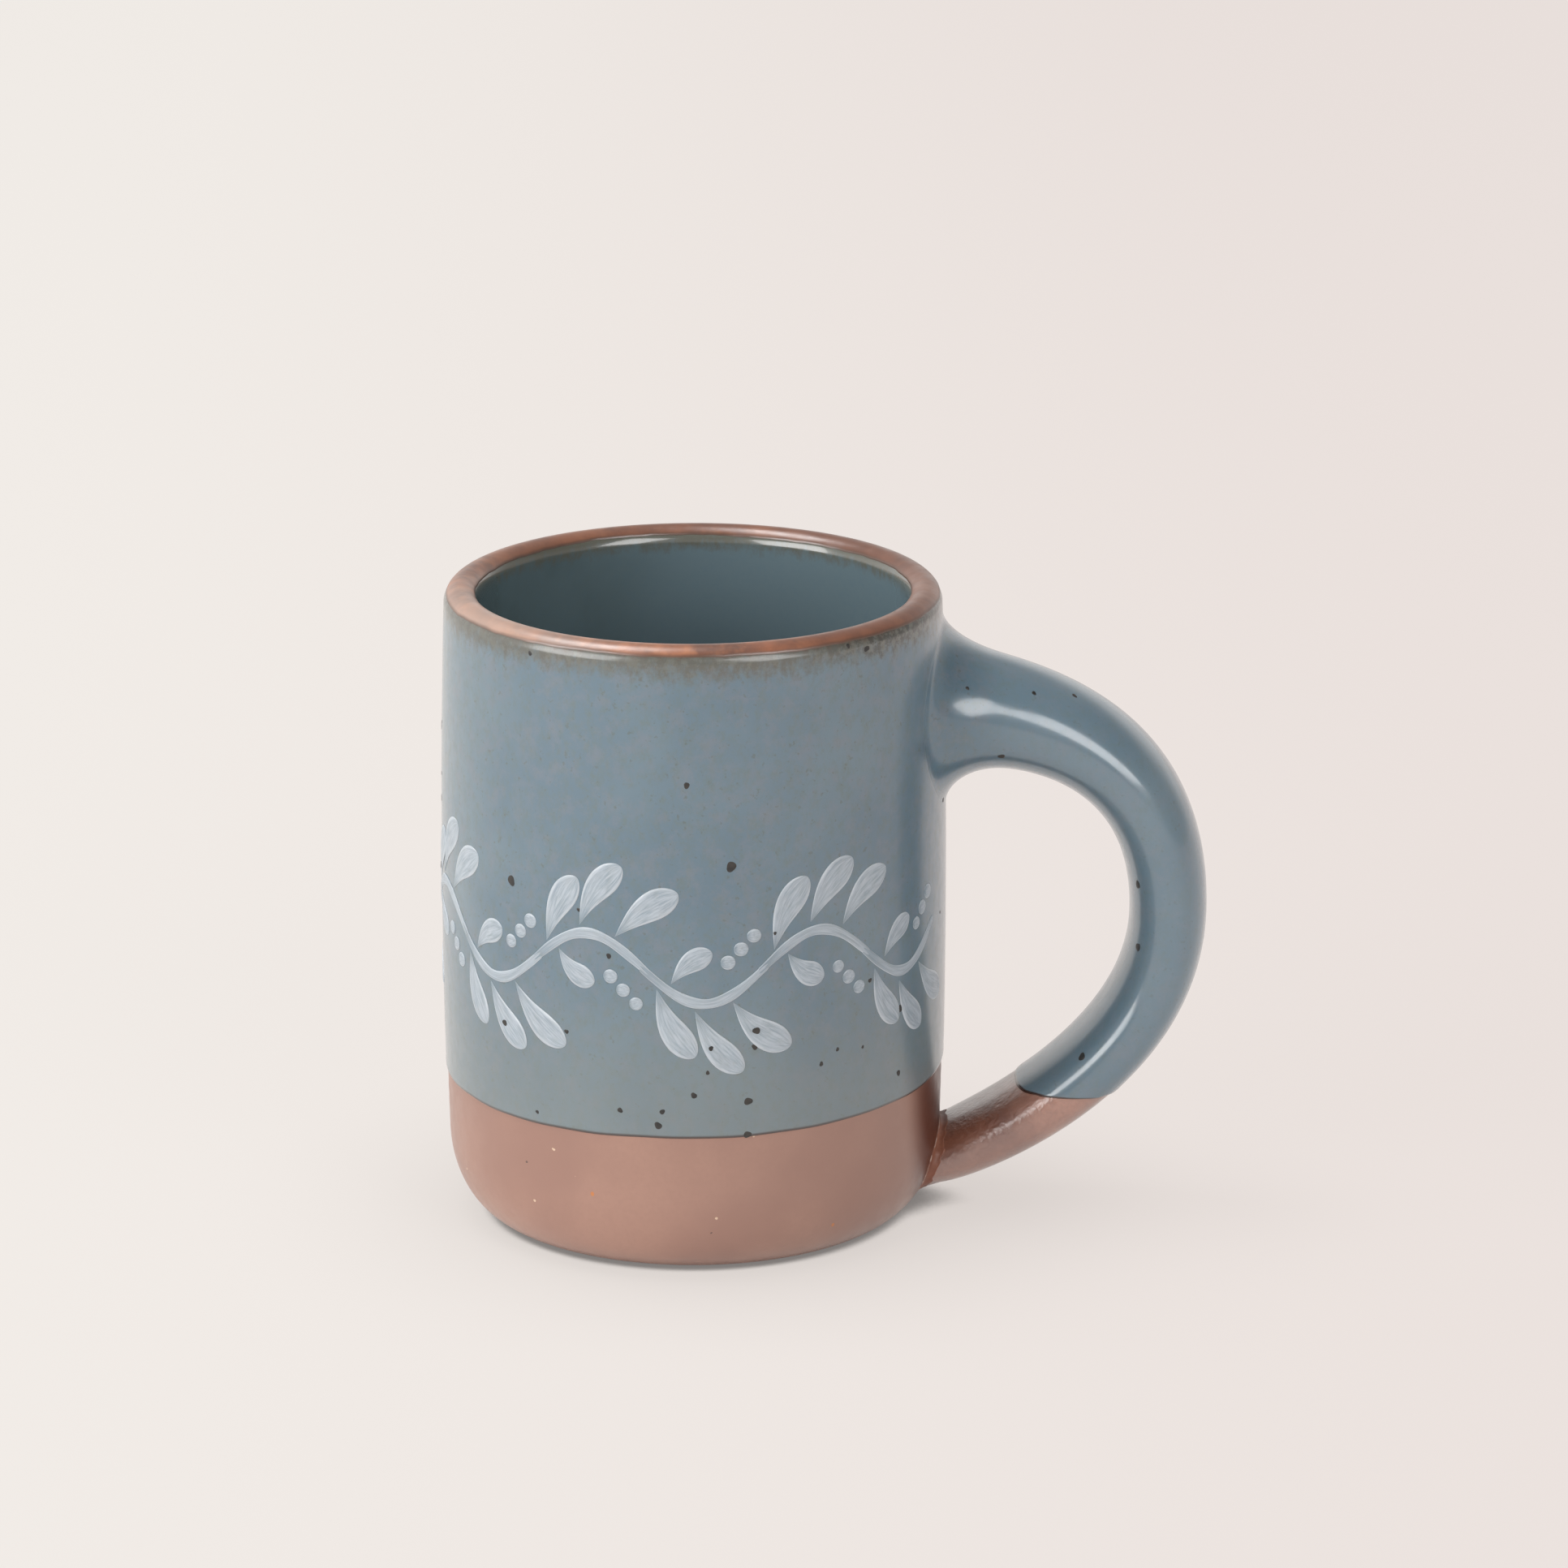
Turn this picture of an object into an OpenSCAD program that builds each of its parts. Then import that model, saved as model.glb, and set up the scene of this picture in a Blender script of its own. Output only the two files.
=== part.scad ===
// Hand-painted stoneware mug.
// A thrown cup with a pulled strap handle, joined with slip, dipped in glaze over bare clay and
// painted with a running leaf border. The cup's axis is Z, the table is z = 0 and the handle
// points along +X. All sizes are in millimetres.

/* [Cup] */
// Outer diameter at the top of the wall, over the glaze
cup_d = 82.5; // [76:0.5:90]
// Height from the table to the top of the lip, over the glaze
cup_h = 108; // [104:0.5:116]
// How much wider the wall's radius is at its foot than under its lip
wall_flare = 0.35; // [0:0.05:0.8]
// How far the wall swells at half its height
belly = 0.7; // [0:0.1:1.4]
// Thickness of the clay wall
wall_t = 5.1; // [4:0.1:6]
// Thickness of the clay floor, from the recess under it
floor_t = 6; // [4.5:0.25:9]
// How far in the rounded outer bottom corner reaches
corner_in = 9.6; // [7:0.2:12]
// How high the rounded outer bottom corner reaches
corner_h = 14.6; // [11:0.2:18]
// Radius of the rounded corner between wall and floor inside the cup
well_r = 11; // [7:0.5:14]
// Width of the ring that the cup stands on
foot_w = 4.5; // [3:0.5:8]
// Depth of the recess inside that ring
foot_recess = 1.2; // [0.6:0.1:2]

/* [Handle] */
// Reach of the handle's middle line from the cup's axis
reach = 79.4; // [74:0.2:86]
// Height of the point where the handle reaches furthest
bend_z = 51.6; // [47:0.2:57]
// How far below the top of the lip the handle's middle line leaves the wall
root_drop = 21.3; // [20:0.1:24]
// Height of the handle's middle line where it comes back to the cup
toe_z = 8.3; // [7.5:0.1:10]
// Direction of the handle's middle line at its lower end, above level
toe_angle = 17; // [8:1:22]
// Thickness at the root, before the slip is smoothed round it
root_t = 22.3; // [20:0.1:25]
// Pull of the thickness between the root and the bend
shoulder_t = 8.6; // [7:0.2:12]
// Pull of the thickness between the bend and the lower end
bend_t = 13.7; // [11:0.1:16]
// Thickness at the lower end
toe_t = 8.5; // [7.4:0.1:10]
// Width across the strap at the root
root_w = 25; // [21:0.5:28]
// Width across the strap round the bend
side_w = 23; // [19:0.5:26]
// Width across the strap at the lower end
toe_w = 19.5; // [16:0.5:22]
// How boxy the strap's section is, from 2 for an oval
strap_power = 2.5; // [2:0.1:3]

/* [Slip joints] */
// How far the smoothed slip runs out along the handle from its root
root_slip_l = 11; // [7:0.5:14]
// How far the smoothed slip spreads over the wall round the root
root_slip_w = 5.2; // [3:0.2:5.6]
// How far the slip seam runs along the handle at its lower end
toe_slip_l = 1.6; // [1:0.1:2.5]
// How far the slip seam spreads over the cup at the lower end
toe_slip_w = 1.2; // [0.8:0.1:1.8]
// Thickness of the slip where it ends
slip_edge = 0.15; // [0.1:0.05:0.25]

/* [Glaze] */
// Thickness of a coat of glaze
glaze_t = 0.3; // [0.2:0.05:0.5]
// Height of the glaze line on the cup, above the bare clay
dip_z = 25.7; // [20:0.1:32]
// Height of the glaze line on the handle
handle_dip_z = 21; // [18:0.1:28]
// Angle above level, round the lip, where the brown rim band starts outside
rim_out = 28; // [10:1:50]
// Angle above level, round the lip, where the brown rim band ends inside
rim_in = 30; // [10:1:50]

/* [Painted border] */
// Height of the border's middle line
border_z = 54; // [46:0.5:60]
// Number of waves of the vine round the cup
waves = 6; // [5:1:7]
// Height of a wave of the vine from its middle line
wave_h = 5.5; // [4:0.25:7]
// Angle kept free of paint on each side of the handle
border_free = 22; // [18:1:30]
// Width of the vine's brush stroke
vine_w = 1.8; // [1.2:0.1:2.4]
// Length of an outer leaf
leaf_l = 13; // [10:0.5:14]
// Width of an outer leaf
leaf_w = 4.8; // [3.6:0.2:5.2]
// How far a leaf curves to one side
leaf_bend = 1; // [0:0.1:1.6]
// Length of the small leaf inside a wave
inner_leaf_l = 8.5; // [7:0.5:9]
// Width of the small leaf inside a wave
inner_leaf_w = 4; // [3:0.2:4.4]
// Diameter of a berry
berry_d = 2.4; // [1.6:0.2:2.6]
// Thickness of the paint on the glaze
paint_t = 0.2; // [0.1:0.05:0.3]

/* [Hidden] */

clay_colour = [0.66, 0.50, 0.43];
slip_colour = [0.70, 0.55, 0.48];
glaze_colour = [0.50, 0.58, 0.61];
liner_colour = [0.33, 0.42, 0.45];
rim_colour = [0.55, 0.38, 0.31];
paint_colour = [0.74, 0.79, 0.82];

// steps along the round stretches
turn_steps = 240;
corner_steps = 12;
wall_steps = 12;
lip_steps = 16;
well_steps = 10;
path_steps = 36;
ring_steps = 28;
fillet_steps = 5;
stroke_steps = 9;
solve_steps = 24;

// one overrun for every cut and every end that is sunk into its neighbour
overrun = wall_t;

// how deep in the wall the handle's middle line starts and ends, as a share of the wall
end_sink_share = 1 / 6;

// places that follow from the sizes
lip_r = wall_t / 2;
lip_z = cup_h - glaze_t - lip_r;
floor_z = foot_recess + floor_t;
foot_r = wall_r(corner_h) - corner_in;
root_z = cup_h - root_drop;
end_r = cup_d / 2 - wall_t * end_sink_share;

// pulls of the handle's curve, as shares of the rise or the run that each one belongs to
root_pull_share = 0.238;
above_bend_share = 0.926;
below_bend_share = 0.64;
toe_pull_share = 0.15;
// how full the concave curve of the slip is, as a share of the way to the root
slip_pull_share = 0.6;
// how deep the slip's hidden back reaches into the handle, as a share of its half size
slip_back_share = 0.5;

// cubic curve through its first and last value, pulled by the two between
function bezier(p, t) =
    p[0] * pow(1 - t, 3) + 3 * p[1] * pow(1 - t, 2) * t + 3 * p[2] * (1 - t) * t * t + p[3] * pow(t, 3);

// direction of that curve
function bezier_way(p, t) =
    (p[1] - p[0]) * pow(1 - t, 2) + 2 * (p[2] - p[1]) * (1 - t) * t + (p[3] - p[2]) * t * t;

// where a rising function crosses zero between two values
function solve(f, low, high, n = solve_steps) =
    let (middle = (low + high) / 2)
    n == 0 ? middle : f(middle) < 0 ? solve(f, middle, high, n - 1) : solve(f, low, middle, n - 1);

// radius of the clay wall at a height above the rounded corner
function wall_r(z) =
    let (t = (z - corner_h) / (lip_z - corner_h))
    cup_d / 2 - glaze_t + wall_flare * (1 - t) + belly * 4 * t * (1 - t);

// radius of the clay cup at any height
function cup_r(z) =
    z >= corner_h ? wall_r(z) : foot_r + corner_in * sqrt(1 - pow(1 - max(z, 0) / corner_h, 2));

// stretches of the cup's outline, as radius and height, moved out of the clay by off
function corner_points() = [
    for (i = [0:corner_steps])
        let (a = 90 * i / corner_steps)
        [foot_r + corner_in * sin(a), corner_h * (1 - cos(a))]
];
function outer_points(low, high, off) = [
    for (i = [0:wall_steps])
        let (z = low + (high - low) * i / wall_steps)
        [wall_r(z) + off, z]
];
function lip_points(from, to, off) = [
    for (i = [0:lip_steps])
        let (a = from + (to - from) * i / lip_steps)
        [wall_r(lip_z) - lip_r + (lip_r + off) * cos(a), lip_z + (lip_r + off) * sin(a)]
];
function inner_points(low, high, off) = [
    for (i = [0:wall_steps])
        let (z = high + (low - high) * i / wall_steps)
        [wall_r(z) - wall_t - off, z]
];
function well_points(off) =
    let (z = floor_z + well_r, r = wall_r(z) - wall_t - well_r)
    [for (i = [1:well_steps])
        let (a = -90 * i / well_steps)
        [r + (well_r - off) * cos(a), z + (well_r - off) * sin(a)]];

function backwards(list) = [for (i = [len(list) - 1:-1:0]) list[i]];

module turned(points) {
    rotate_extrude($fn = turn_steps)
        polygon(points);
}

// the cup without its hollow, which trims whatever is joined to it
module cup_form() {
    crown = lip_points(0, 90, 0);
    turned(concat(
        [[0, 0]], corner_points(), outer_points(corner_h, lip_z, 0), crown, [[0, lip_z + lip_r]]
    ));
}

// the handle's middle line, as radius and height, from the wall round to the cup's foot
upper_path = [
    [end_r, root_z],
    [end_r + (reach - end_r) * root_pull_share, root_z],
    [reach, bend_z + (root_z - bend_z) * above_bend_share],
    [reach, bend_z]
];
lower_path = [
    [reach, bend_z],
    [reach, bend_z - (bend_z - toe_z) * below_bend_share],
    [end_r, toe_z] + (reach - end_r) * toe_pull_share * [cos(toe_angle), sin(toe_angle)],
    [end_r, toe_z]
];
function path_point(u) = u < 0.5 ? bezier(upper_path, 2 * u) : bezier(lower_path, 2 * u - 1);
function path_way(u) =
    let (d = u < 0.5 ? bezier_way(upper_path, 2 * u) : bezier_way(lower_path, 2 * u - 1))
    d / norm(d);
function strap_t(u) = bezier([root_t, shoulder_t, bend_t, toe_t], u);
function strap_w(u) = bezier([root_w, side_w, side_w, toe_w], u);
// a cosine or sine pushed out towards the corners of a box
function boxed(c) = sign(c) * pow(abs(c), 2 / strap_power);

// a point on the strap's skin, at station v along it and angle a round it. Stations run from
// 0 to 1, and those below 0 or above 1 lie on straight ends sunk towards the cup's axis.
function skin_point(v, a, off) =
    let (
        u = min(max(v, 0), 1),
        d = path_way(u),
        sunk = (v - u) * overrun,
        c = path_point(u) + d * sunk,
        t = (strap_t(u) / 2 + off) * boxed(cos(a)),
        w = (strap_w(u) / 2 + off) * boxed(sin(a))
    )
    [c[0] - d[1] * t, w, c[1] + d[0] * t];

// triangles of a tube of rings with flat ends
function side_faces(rings, sides) = [
    for (i = [0:rings - 2], j = [0:sides - 1])
        let (k = (j + 1) % sides, a = i * sides, b = a + sides)
        each [[a + j, b + k, b + j], [a + j, a + k, b + k]]
];
function end_faces(rings, sides) = [
    for (j = [1:sides - 2])
        let (a = (rings - 1) * sides)
        each [[0, j + 1, j], [a, a + j, a + j + 1]]
];

// the strap from one station to another, with a straight sunk end wherever it passes 0 or 1
module strap(from, to, off = 0) {
    low = max(from, 0);
    high = min(to, 1);
    steps = round((high - low) * path_steps);
    stations = concat(
        from < 0 ? [from] : [],
        [for (i = [0:steps]) low + (high - low) * i / steps],
        to > 1 ? [to] : []
    );
    rings = len(stations);
    points = [for (v = stations, j = [0:ring_steps - 1]) skin_point(v, 360 * j / ring_steps, off)];
    polyhedron(points, concat(side_faces(rings, ring_steps), end_faces(rings, ring_steps)));
}

// the slip smoothed round one end of the strap, as a ring with its back sunk into strap and cup.
// way is 1 at the root and -1 at the lower end.
module slip_form(way, along, spread, off = 0) {
    end = way > 0 ? 0 : 1;
    mid = path_point(end);
    sections = [
        for (j = [0:ring_steps - 1])
            let (
                a = 360 * j / ring_steps,
                skin = function (v) skin_point(end + way * v, a, off),
                out = function (p) norm([p[0], p[1]]) - cup_r(p[2]) - off,
                met = solve(function (v) out(skin(v)), root_end, met_reach),
                root = skin(met),
                far = solve(function (v) norm(skin(v) - root) - along, met, met + far_reach),
                turn = atan2(root[1], root[0]),
                spread_y = root[1],
                spread_z = root[2] - mid[1],
                size = norm([spread_y, spread_z]),
                wall_z = root[2] + spread * spread_z / size,
                wall_turn = turn + spread * spread_y / size / cup_r(root[2]) * 180 / PI,
                rise = off + slip_edge,
                tip = skin_point(end + way * far, a, rise),
                wall = wall_point(wall_turn, wall_z, rise),
                curve = [tip, tip + (root - tip) * slip_pull_share, wall + (root - wall) * slip_pull_share, wall],
                tip_back = skin_point(end + way * far, a, -strap_t(end) / 2 * slip_back_share),
                wall_back = wall_point(wall_turn, wall_z, -wall_t * slip_back_share),
                deep = skin_point(end + way * (met - wall_t / overrun), a, -strap_t(end) / 2 * slip_back_share)
            )
            concat([for (i = [0:fillet_steps]) bezier(curve, i / fillet_steps)], [wall_back, deep, tip_back])
    ];
    ring = len(sections[0]);
    faces = [
        for (j = [0:ring_steps - 1], i = [0:ring - 1])
            let (
                a = j * ring,
                b = ((j + 1) % ring_steps) * ring,
                k = (i + 1) % ring
            )
            each (way > 0
                ? [[a + i, a + k, b + k], [a + i, b + k, b + i]]
                : [[a + i, b + k, a + k], [a + i, b + i, b + k]])
    ];
    polyhedron([for (s = sections) each s], faces);
}

// a point over the cup's clay at a turn round its axis and a height
function wall_point(turn, z, off) =
    let (r = cup_r(z) + off)
    [r * cos(turn), r * sin(turn), z];

// the stretches of the strap that the slip round each end reaches over
root_rings = 13;
toe_rings = 6;
root_reach = root_rings / path_steps;
toe_reach = toe_rings / path_steps;
// the stations of the sunk ends
root_end = -1.5;
toe_end = 2.5;
// how far along the strap its skin can meet the cup, and how far past that the slip can end
met_reach = 0.2;
far_reach = 0.4;

module cup_body() {
    color(clay_colour)
        turned(concat(
            [[0, foot_recess], [foot_r - foot_w - foot_recess, foot_recess], [foot_r - foot_w, 0]],
            corner_points(),
            outer_points(corner_h, lip_z, 0),
            lip_points(0, 180, 0),
            inner_points(floor_z + well_r, lip_z, 0),
            well_points(0),
            [[0, floor_z]]
        ));
}

module handle() {
    color(clay_colour)
        difference() {
            strap(root_end, toe_end);
            cup_form();
        }
}

module upper_joint() {
    color(slip_colour)
        difference() {
            slip_form(1, root_slip_l, root_slip_w);
            strap(root_end, root_reach);
            cup_form();
        }
}

module lower_joint() {
    color(slip_colour)
        difference() {
            slip_form(-1, toe_slip_l, toe_slip_w);
            strap(1 - toe_reach, toe_end);
            cup_form();
        }
}

// the glazed root of the handle with its slip, which the coats on the wall stop at
module glazed_root() {
    slip_form(1, root_slip_l, root_slip_w, glaze_t);
    strap(root_end, root_reach, glaze_t);
}

module outer_glaze() {
    color(glaze_colour)
        difference() {
            turned(concat(
                outer_points(dip_z, lip_z, glaze_t), lip_points(0, rim_out, glaze_t),
                backwards(lip_points(0, rim_out, 0)), backwards(outer_points(dip_z, lip_z, 0))
            ));
            glazed_root();
        }
}

module liner_glaze() {
    low = floor_z + well_r;
    color(liner_colour)
        turned(concat(
            lip_points(180 - rim_in, 180, 0), inner_points(low, lip_z, 0), well_points(0),
            [[0, floor_z], [0, floor_z + glaze_t]],
            backwards(well_points(glaze_t)), backwards(inner_points(low, lip_z, glaze_t)),
            backwards(lip_points(180 - rim_in, 180, glaze_t))
        ));
}

module rim_band() {
    color(rim_colour)
        difference() {
            turned(concat(
                lip_points(rim_out, 180 - rim_in, glaze_t), backwards(lip_points(rim_out, 180 - rim_in, 0))
            ));
            glazed_root();
        }
}

module handle_glaze() {
    color(glaze_colour)
        difference() {
            union() {
                strap(root_end, 1, glaze_t);
                slip_form(1, root_slip_l, root_slip_w, glaze_t);
            }
            strap(root_end, 1 + toe_reach);
            slip_form(1, root_slip_l, root_slip_w);
            cup_form();
            translate([-reach, -reach, -reach])
                cube([3 * reach, 2 * reach, reach + handle_dip_z]);
        }
}

// the thin skin on the glaze that holds all paint
module paint_skin() {
    low = border_z - band_h;
    high = border_z + band_h;
    turned(concat(
        outer_points(low, high, glaze_t + paint_t), backwards(outer_points(low, high, glaze_t))
    ));
}

// places along a half wave, as shares of its length, with the direction of each leaf
outer_leaf_shares = [0.1, 0.42, 0.74];
inner_leaf_share = 0.22;
berry_shares = [0.7, 0.81, 0.92];
outer_leaf_turns = [62, 52, 40];
inner_leaf_turn = -38;
// how far each berry hangs below the border's middle line, as shares of its diameter
berry_drop_shares = [0.6, 1.5, 2.4];
// how far a mark keeps from the vine's middle line, as a share of the vine's width
mark_gap_share = 0.75;
// how wide the vine's stroke is where it starts and ends, as a share of its width
vine_end_share = 0.5;
// powers that give a leaf its outline: a thin start, its widest place near the tip, a round end
leaf_lag = 1.9;
leaf_round = 0.55;
berry_steps = 24;

// half the height of the band that the border keeps to
band_h = wave_h + vine_w + leaf_l;
// radius under the paint, and the length of half a wave along it
paint_r = wall_r(border_z) + glaze_t;
half_angle = (180 - border_free) / waves;
half_l = half_angle * PI / 180 * paint_r;
// how far a brush mark keeps from the vine's middle line
mark_gap = vine_w * mark_gap_share;

// place along the border and height of the vine over its middle line, at a share of a half wave
function along_l(share) = (share - 0.5) * half_l;
function vine_z(share) = wave_h * sin(180 * share);

// how wide a leaf is at a share of its length, as a share of its width
function leaf_share(t) = pow(max(sin(180 * pow(t, leaf_lag)), 0), leaf_round);

// puts a flat mark on the cup, at a turn round its axis, and pushes it through the paint skin
module on_wall(turn, side) {
    rotate([0, 0, turn])
        translate([paint_r - wall_t, 0, border_z])
            rotate([90, 0, 90])
                scale([1, side, 1])
                    linear_extrude(2 * wall_t)
                        children();
}

// one brush stroke along half a wave, thin at both ends
module vine_stroke() {
    points = [
        for (side = [1, -1], i = [0:stroke_steps])
            let (
                t = side > 0 ? i / stroke_steps : 1 - i / stroke_steps,
                w = vine_w / 2 * (vine_end_share + (1 - vine_end_share) * sin(180 * t))
            )
            [along_l(t), vine_z(t) + side * w]
    ];
    polygon(points);
}

// one pressed brush mark: a point that opens into a round end, curved to one side
module leaf(l, w, bend) {
    polygon([
        for (side = [1, -1], i = [0:stroke_steps])
            let (t = side > 0 ? i / stroke_steps : 1 - i / stroke_steps)
            if (!(side < 0 && (i == 0 || i == stroke_steps)))
                [l * t, bend * sin(180 * t) + side * w / 2 * leaf_share(t)]
    ]);
}

// a leaf that starts beside the vine at a share of the half wave
module leaf_at(share, direction, l, w) {
    gap = direction > 0 ? mark_gap : -mark_gap;
    translate([along_l(share), vine_z(share) + gap])
        rotate(direction)
            leaf(l, w, sign(direction) * leaf_bend);
}

// every half wave in turn, on alternate sides of the middle line
module along_border() {
    for (i = [0:2 * waves - 1])
        on_wall(border_free + (i + 0.5) * half_angle, i % 2 == 0 ? 1 : -1)
            children();
}

module painted_vine() {
    color(paint_colour)
        intersection() {
            paint_skin();
            along_border()
                vine_stroke();
        }
}

module painted_leaves() {
    color(paint_colour)
        intersection() {
            paint_skin();
            along_border() {
                for (i = [0:len(outer_leaf_shares) - 1])
                    leaf_at(outer_leaf_shares[i], outer_leaf_turns[i], leaf_l, leaf_w);
                leaf_at(inner_leaf_share, inner_leaf_turn, inner_leaf_l, inner_leaf_w);
            }
        }
}

module painted_berries() {
    color(paint_colour)
        intersection() {
            paint_skin();
            along_border()
                for (i = [0:len(berry_shares) - 1])
                    translate([along_l(berry_shares[i]), -berry_d * berry_drop_shares[i]])
                        circle(d = berry_d, $fn = berry_steps);
        }
}

cup_body();
handle();
upper_joint();
lower_joint();
outer_glaze();
liner_glaze();
rim_band();
handle_glaze();
painted_vine();
painted_leaves();
painted_berries();
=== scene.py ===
# %% [markdown]
# # A hand-painted stoneware mug
#
# The real mug is two pieces of red-brown clay, a thrown cup and a pulled strap handle. They are
# joined with slip, dipped in glaze down to a line above the foot and painted with a brush. The
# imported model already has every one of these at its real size. This script keeps that frame and
# lays a finer surface over each piece: the rolled edge of the glaze, the broken brown lip, the
# smoothed collar at the handle's root and the streaks of each brush stroke.

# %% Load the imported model
import math

import bpy
import numpy as np
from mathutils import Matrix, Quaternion, Vector
from mathutils.bvhtree import BVHTree


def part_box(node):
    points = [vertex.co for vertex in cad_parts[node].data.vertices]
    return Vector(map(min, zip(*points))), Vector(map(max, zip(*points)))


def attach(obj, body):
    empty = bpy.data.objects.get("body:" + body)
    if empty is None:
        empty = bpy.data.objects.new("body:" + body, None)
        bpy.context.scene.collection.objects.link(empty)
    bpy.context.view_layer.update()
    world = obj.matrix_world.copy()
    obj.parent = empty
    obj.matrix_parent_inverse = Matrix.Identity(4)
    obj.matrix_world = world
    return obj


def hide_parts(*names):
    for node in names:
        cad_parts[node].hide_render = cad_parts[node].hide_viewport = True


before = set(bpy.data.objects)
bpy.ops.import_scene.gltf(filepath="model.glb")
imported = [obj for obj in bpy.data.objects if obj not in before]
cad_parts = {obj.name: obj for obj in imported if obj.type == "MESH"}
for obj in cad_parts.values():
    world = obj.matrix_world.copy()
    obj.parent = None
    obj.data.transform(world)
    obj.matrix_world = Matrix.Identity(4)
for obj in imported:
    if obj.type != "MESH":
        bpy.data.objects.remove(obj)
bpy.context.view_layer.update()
print("nodes:", ", ".join(sorted(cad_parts)))

# %% [markdown]
# ## Sizes
#
# All sizes are in millimetres until a mesh is made, and heights count from the table. The frame
# gives what can be read from a node's box. The pulls and the flare of the curves can't be, so
# they are named here, as they are in the part's own source.

# %% Heights and thicknesses that the frame gives
MM = 0.001


def box_mm(node):
    """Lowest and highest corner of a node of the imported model, in millimetres."""
    low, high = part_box(node)
    return np.array(low) / MM, np.array(high) / MM


cup_h = box_mm("rim_band")[1][2]
glaze_t = cup_h - box_mm("cup_body")[1][2]
dip_z = box_mm("outer_glaze")[0][2]
handle_dip_z = box_mm("handle_glaze")[0][2]
floor_z = box_mm("liner_glaze")[0][2]
print(f"cup {cup_h:.1f} high, glaze {glaze_t:.2f} thick down to {dip_z:.1f}, floor at {floor_z:.1f}")

# %% The curves of the cup
cup_d = 82.5
wall_flare = 0.35
belly = 0.7
wall_t = 5.1
corner_in = 9.6
corner_h = 14.6
well_r = 11.0
foot_w = 4.5
foot_recess = 1.2

lip_r = wall_t / 2
lip_z = cup_h - glaze_t - lip_r


def wall_r(z):
    """Radius of the clay wall: the top radius, a flare that grows evenly down to the rounded
    corner, and a belly that follows a parabola, fullest half way up."""
    t = (z - corner_h) / (lip_z - corner_h)
    return cup_d / 2 - glaze_t + wall_flare * (1 - t) + belly * 4 * t * (1 - t)


foot_r = wall_r(corner_h) - corner_in


def cup_r(z):
    """Radius of the clay at any height: the wall, and under it a quarter of an ellipse."""
    sunk = np.clip(1 - z / corner_h, 0, 1)
    return np.where(z >= corner_h, wall_r(z), foot_r + corner_in * np.sqrt(1 - sunk**2))


print(f"wall radius {wall_r(corner_h):.2f} at the corner, {wall_r(lip_z):.2f} under the lip")

# %% [markdown]
# ## From a grid of points to a closed mesh
#
# Every piece here is a grid: rows along it and columns round it. Primitives with modifiers could
# give the cup, but not the irregular glaze line or the strokes, and a grid that is worked out as
# one array stays quick at any density. Many small pieces, such as leaves, are one stack of grids.
# A piece is turned inside out if its volume comes out negative, so its faces point outwards.

# %% Lay a grid
def grid_faces(count, rows, cols, rows_close):
    """Corner numbers of the quads, and of the fans that close the ends of open rows."""
    index = np.arange(count * rows * cols).reshape(count, rows, cols)
    low = index if rows_close else index[:, :-1]
    high = np.roll(index, -1, 1) if rows_close else index[:, 1:]
    quads = np.stack([low, np.roll(low, -1, 2), np.roll(high, -1, 2), high], -1).reshape(-1, 4)
    if rows_close:
        return quads, np.empty((0, 3), int)
    middle = count * rows * cols + np.arange(2 * count).reshape(count, 2, 1)
    start = np.stack([np.roll(index[:, 0], -1, 1), index[:, 0], middle[:, 0].repeat(cols, 1)], -1)
    end = np.stack([index[:, -1], np.roll(index[:, -1], -1, 1), middle[:, 1].repeat(cols, 1)], -1)
    return quads, np.concatenate([start, end]).reshape(-1, 3)


def with_middles(values, rows_close):
    """A stack of grids as one list, with the mean of each first and last row after it."""
    flat = values.reshape(-1, values.shape[-1])
    if rows_close:
        return flat
    return np.vstack([flat, values[:, [0, -1]].mean(2).reshape(-1, values.shape[-1])])


def volume_of(points, faces):
    """Signed volume: a sixth of the triple product of each triangle's corners, summed."""
    a, b, c = (points[faces[:, i]] for i in range(3))
    total = (a * np.cross(b, c)).sum()
    if faces.shape[1] == 4:
        total += (a * np.cross(c, points[faces[:, 3]])).sum()
    return total / 6


def add_object(name, data):
    """A new object in the scene, which holds a mesh, a camera or a lamp."""
    thing = bpy.data.objects.new(name, data)
    bpy.context.scene.collection.objects.link(thing)
    return thing


def lay(name, grid, rows_close=False, **attributes):
    """A closed, smooth mesh from (rows, columns, 3) or (count, rows, columns, 3) points in mm.
    Each attribute is one number per point, which a material can read."""
    grid = grid if grid.ndim == 4 else grid[None]
    count, rows, cols = grid.shape[:3]
    quads, fans = grid_faces(count, rows, cols, rows_close)
    points = with_middles(grid, rows_close)
    if volume_of(points, quads) + (volume_of(points, fans) if len(fans) else 0) < 0:
        quads, fans = quads[:, ::-1], fans[:, ::-1]
    mesh = bpy.data.meshes.new(name)
    mesh.from_pydata((points * MM).tolist(), [], quads.tolist() + fans.tolist())
    for key, values in attributes.items():
        values = with_middles(values.reshape(count, rows, cols, 1), rows_close)
        layer = mesh.attributes.new(key, "FLOAT", "POINT")
        layer.data.foreach_set("value", values.astype(np.float32).ravel())
    mesh.shade_smooth()
    print(f"{name}: {len(mesh.polygons)} faces")
    return add_object(name, mesh)


def finish_piece(piece, material, slot, *nodes):
    """Gives a piece its material and its place in the frame."""
    piece.data.materials.append(material)
    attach(piece, "root")
    if nodes:
        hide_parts(*nodes)


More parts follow.
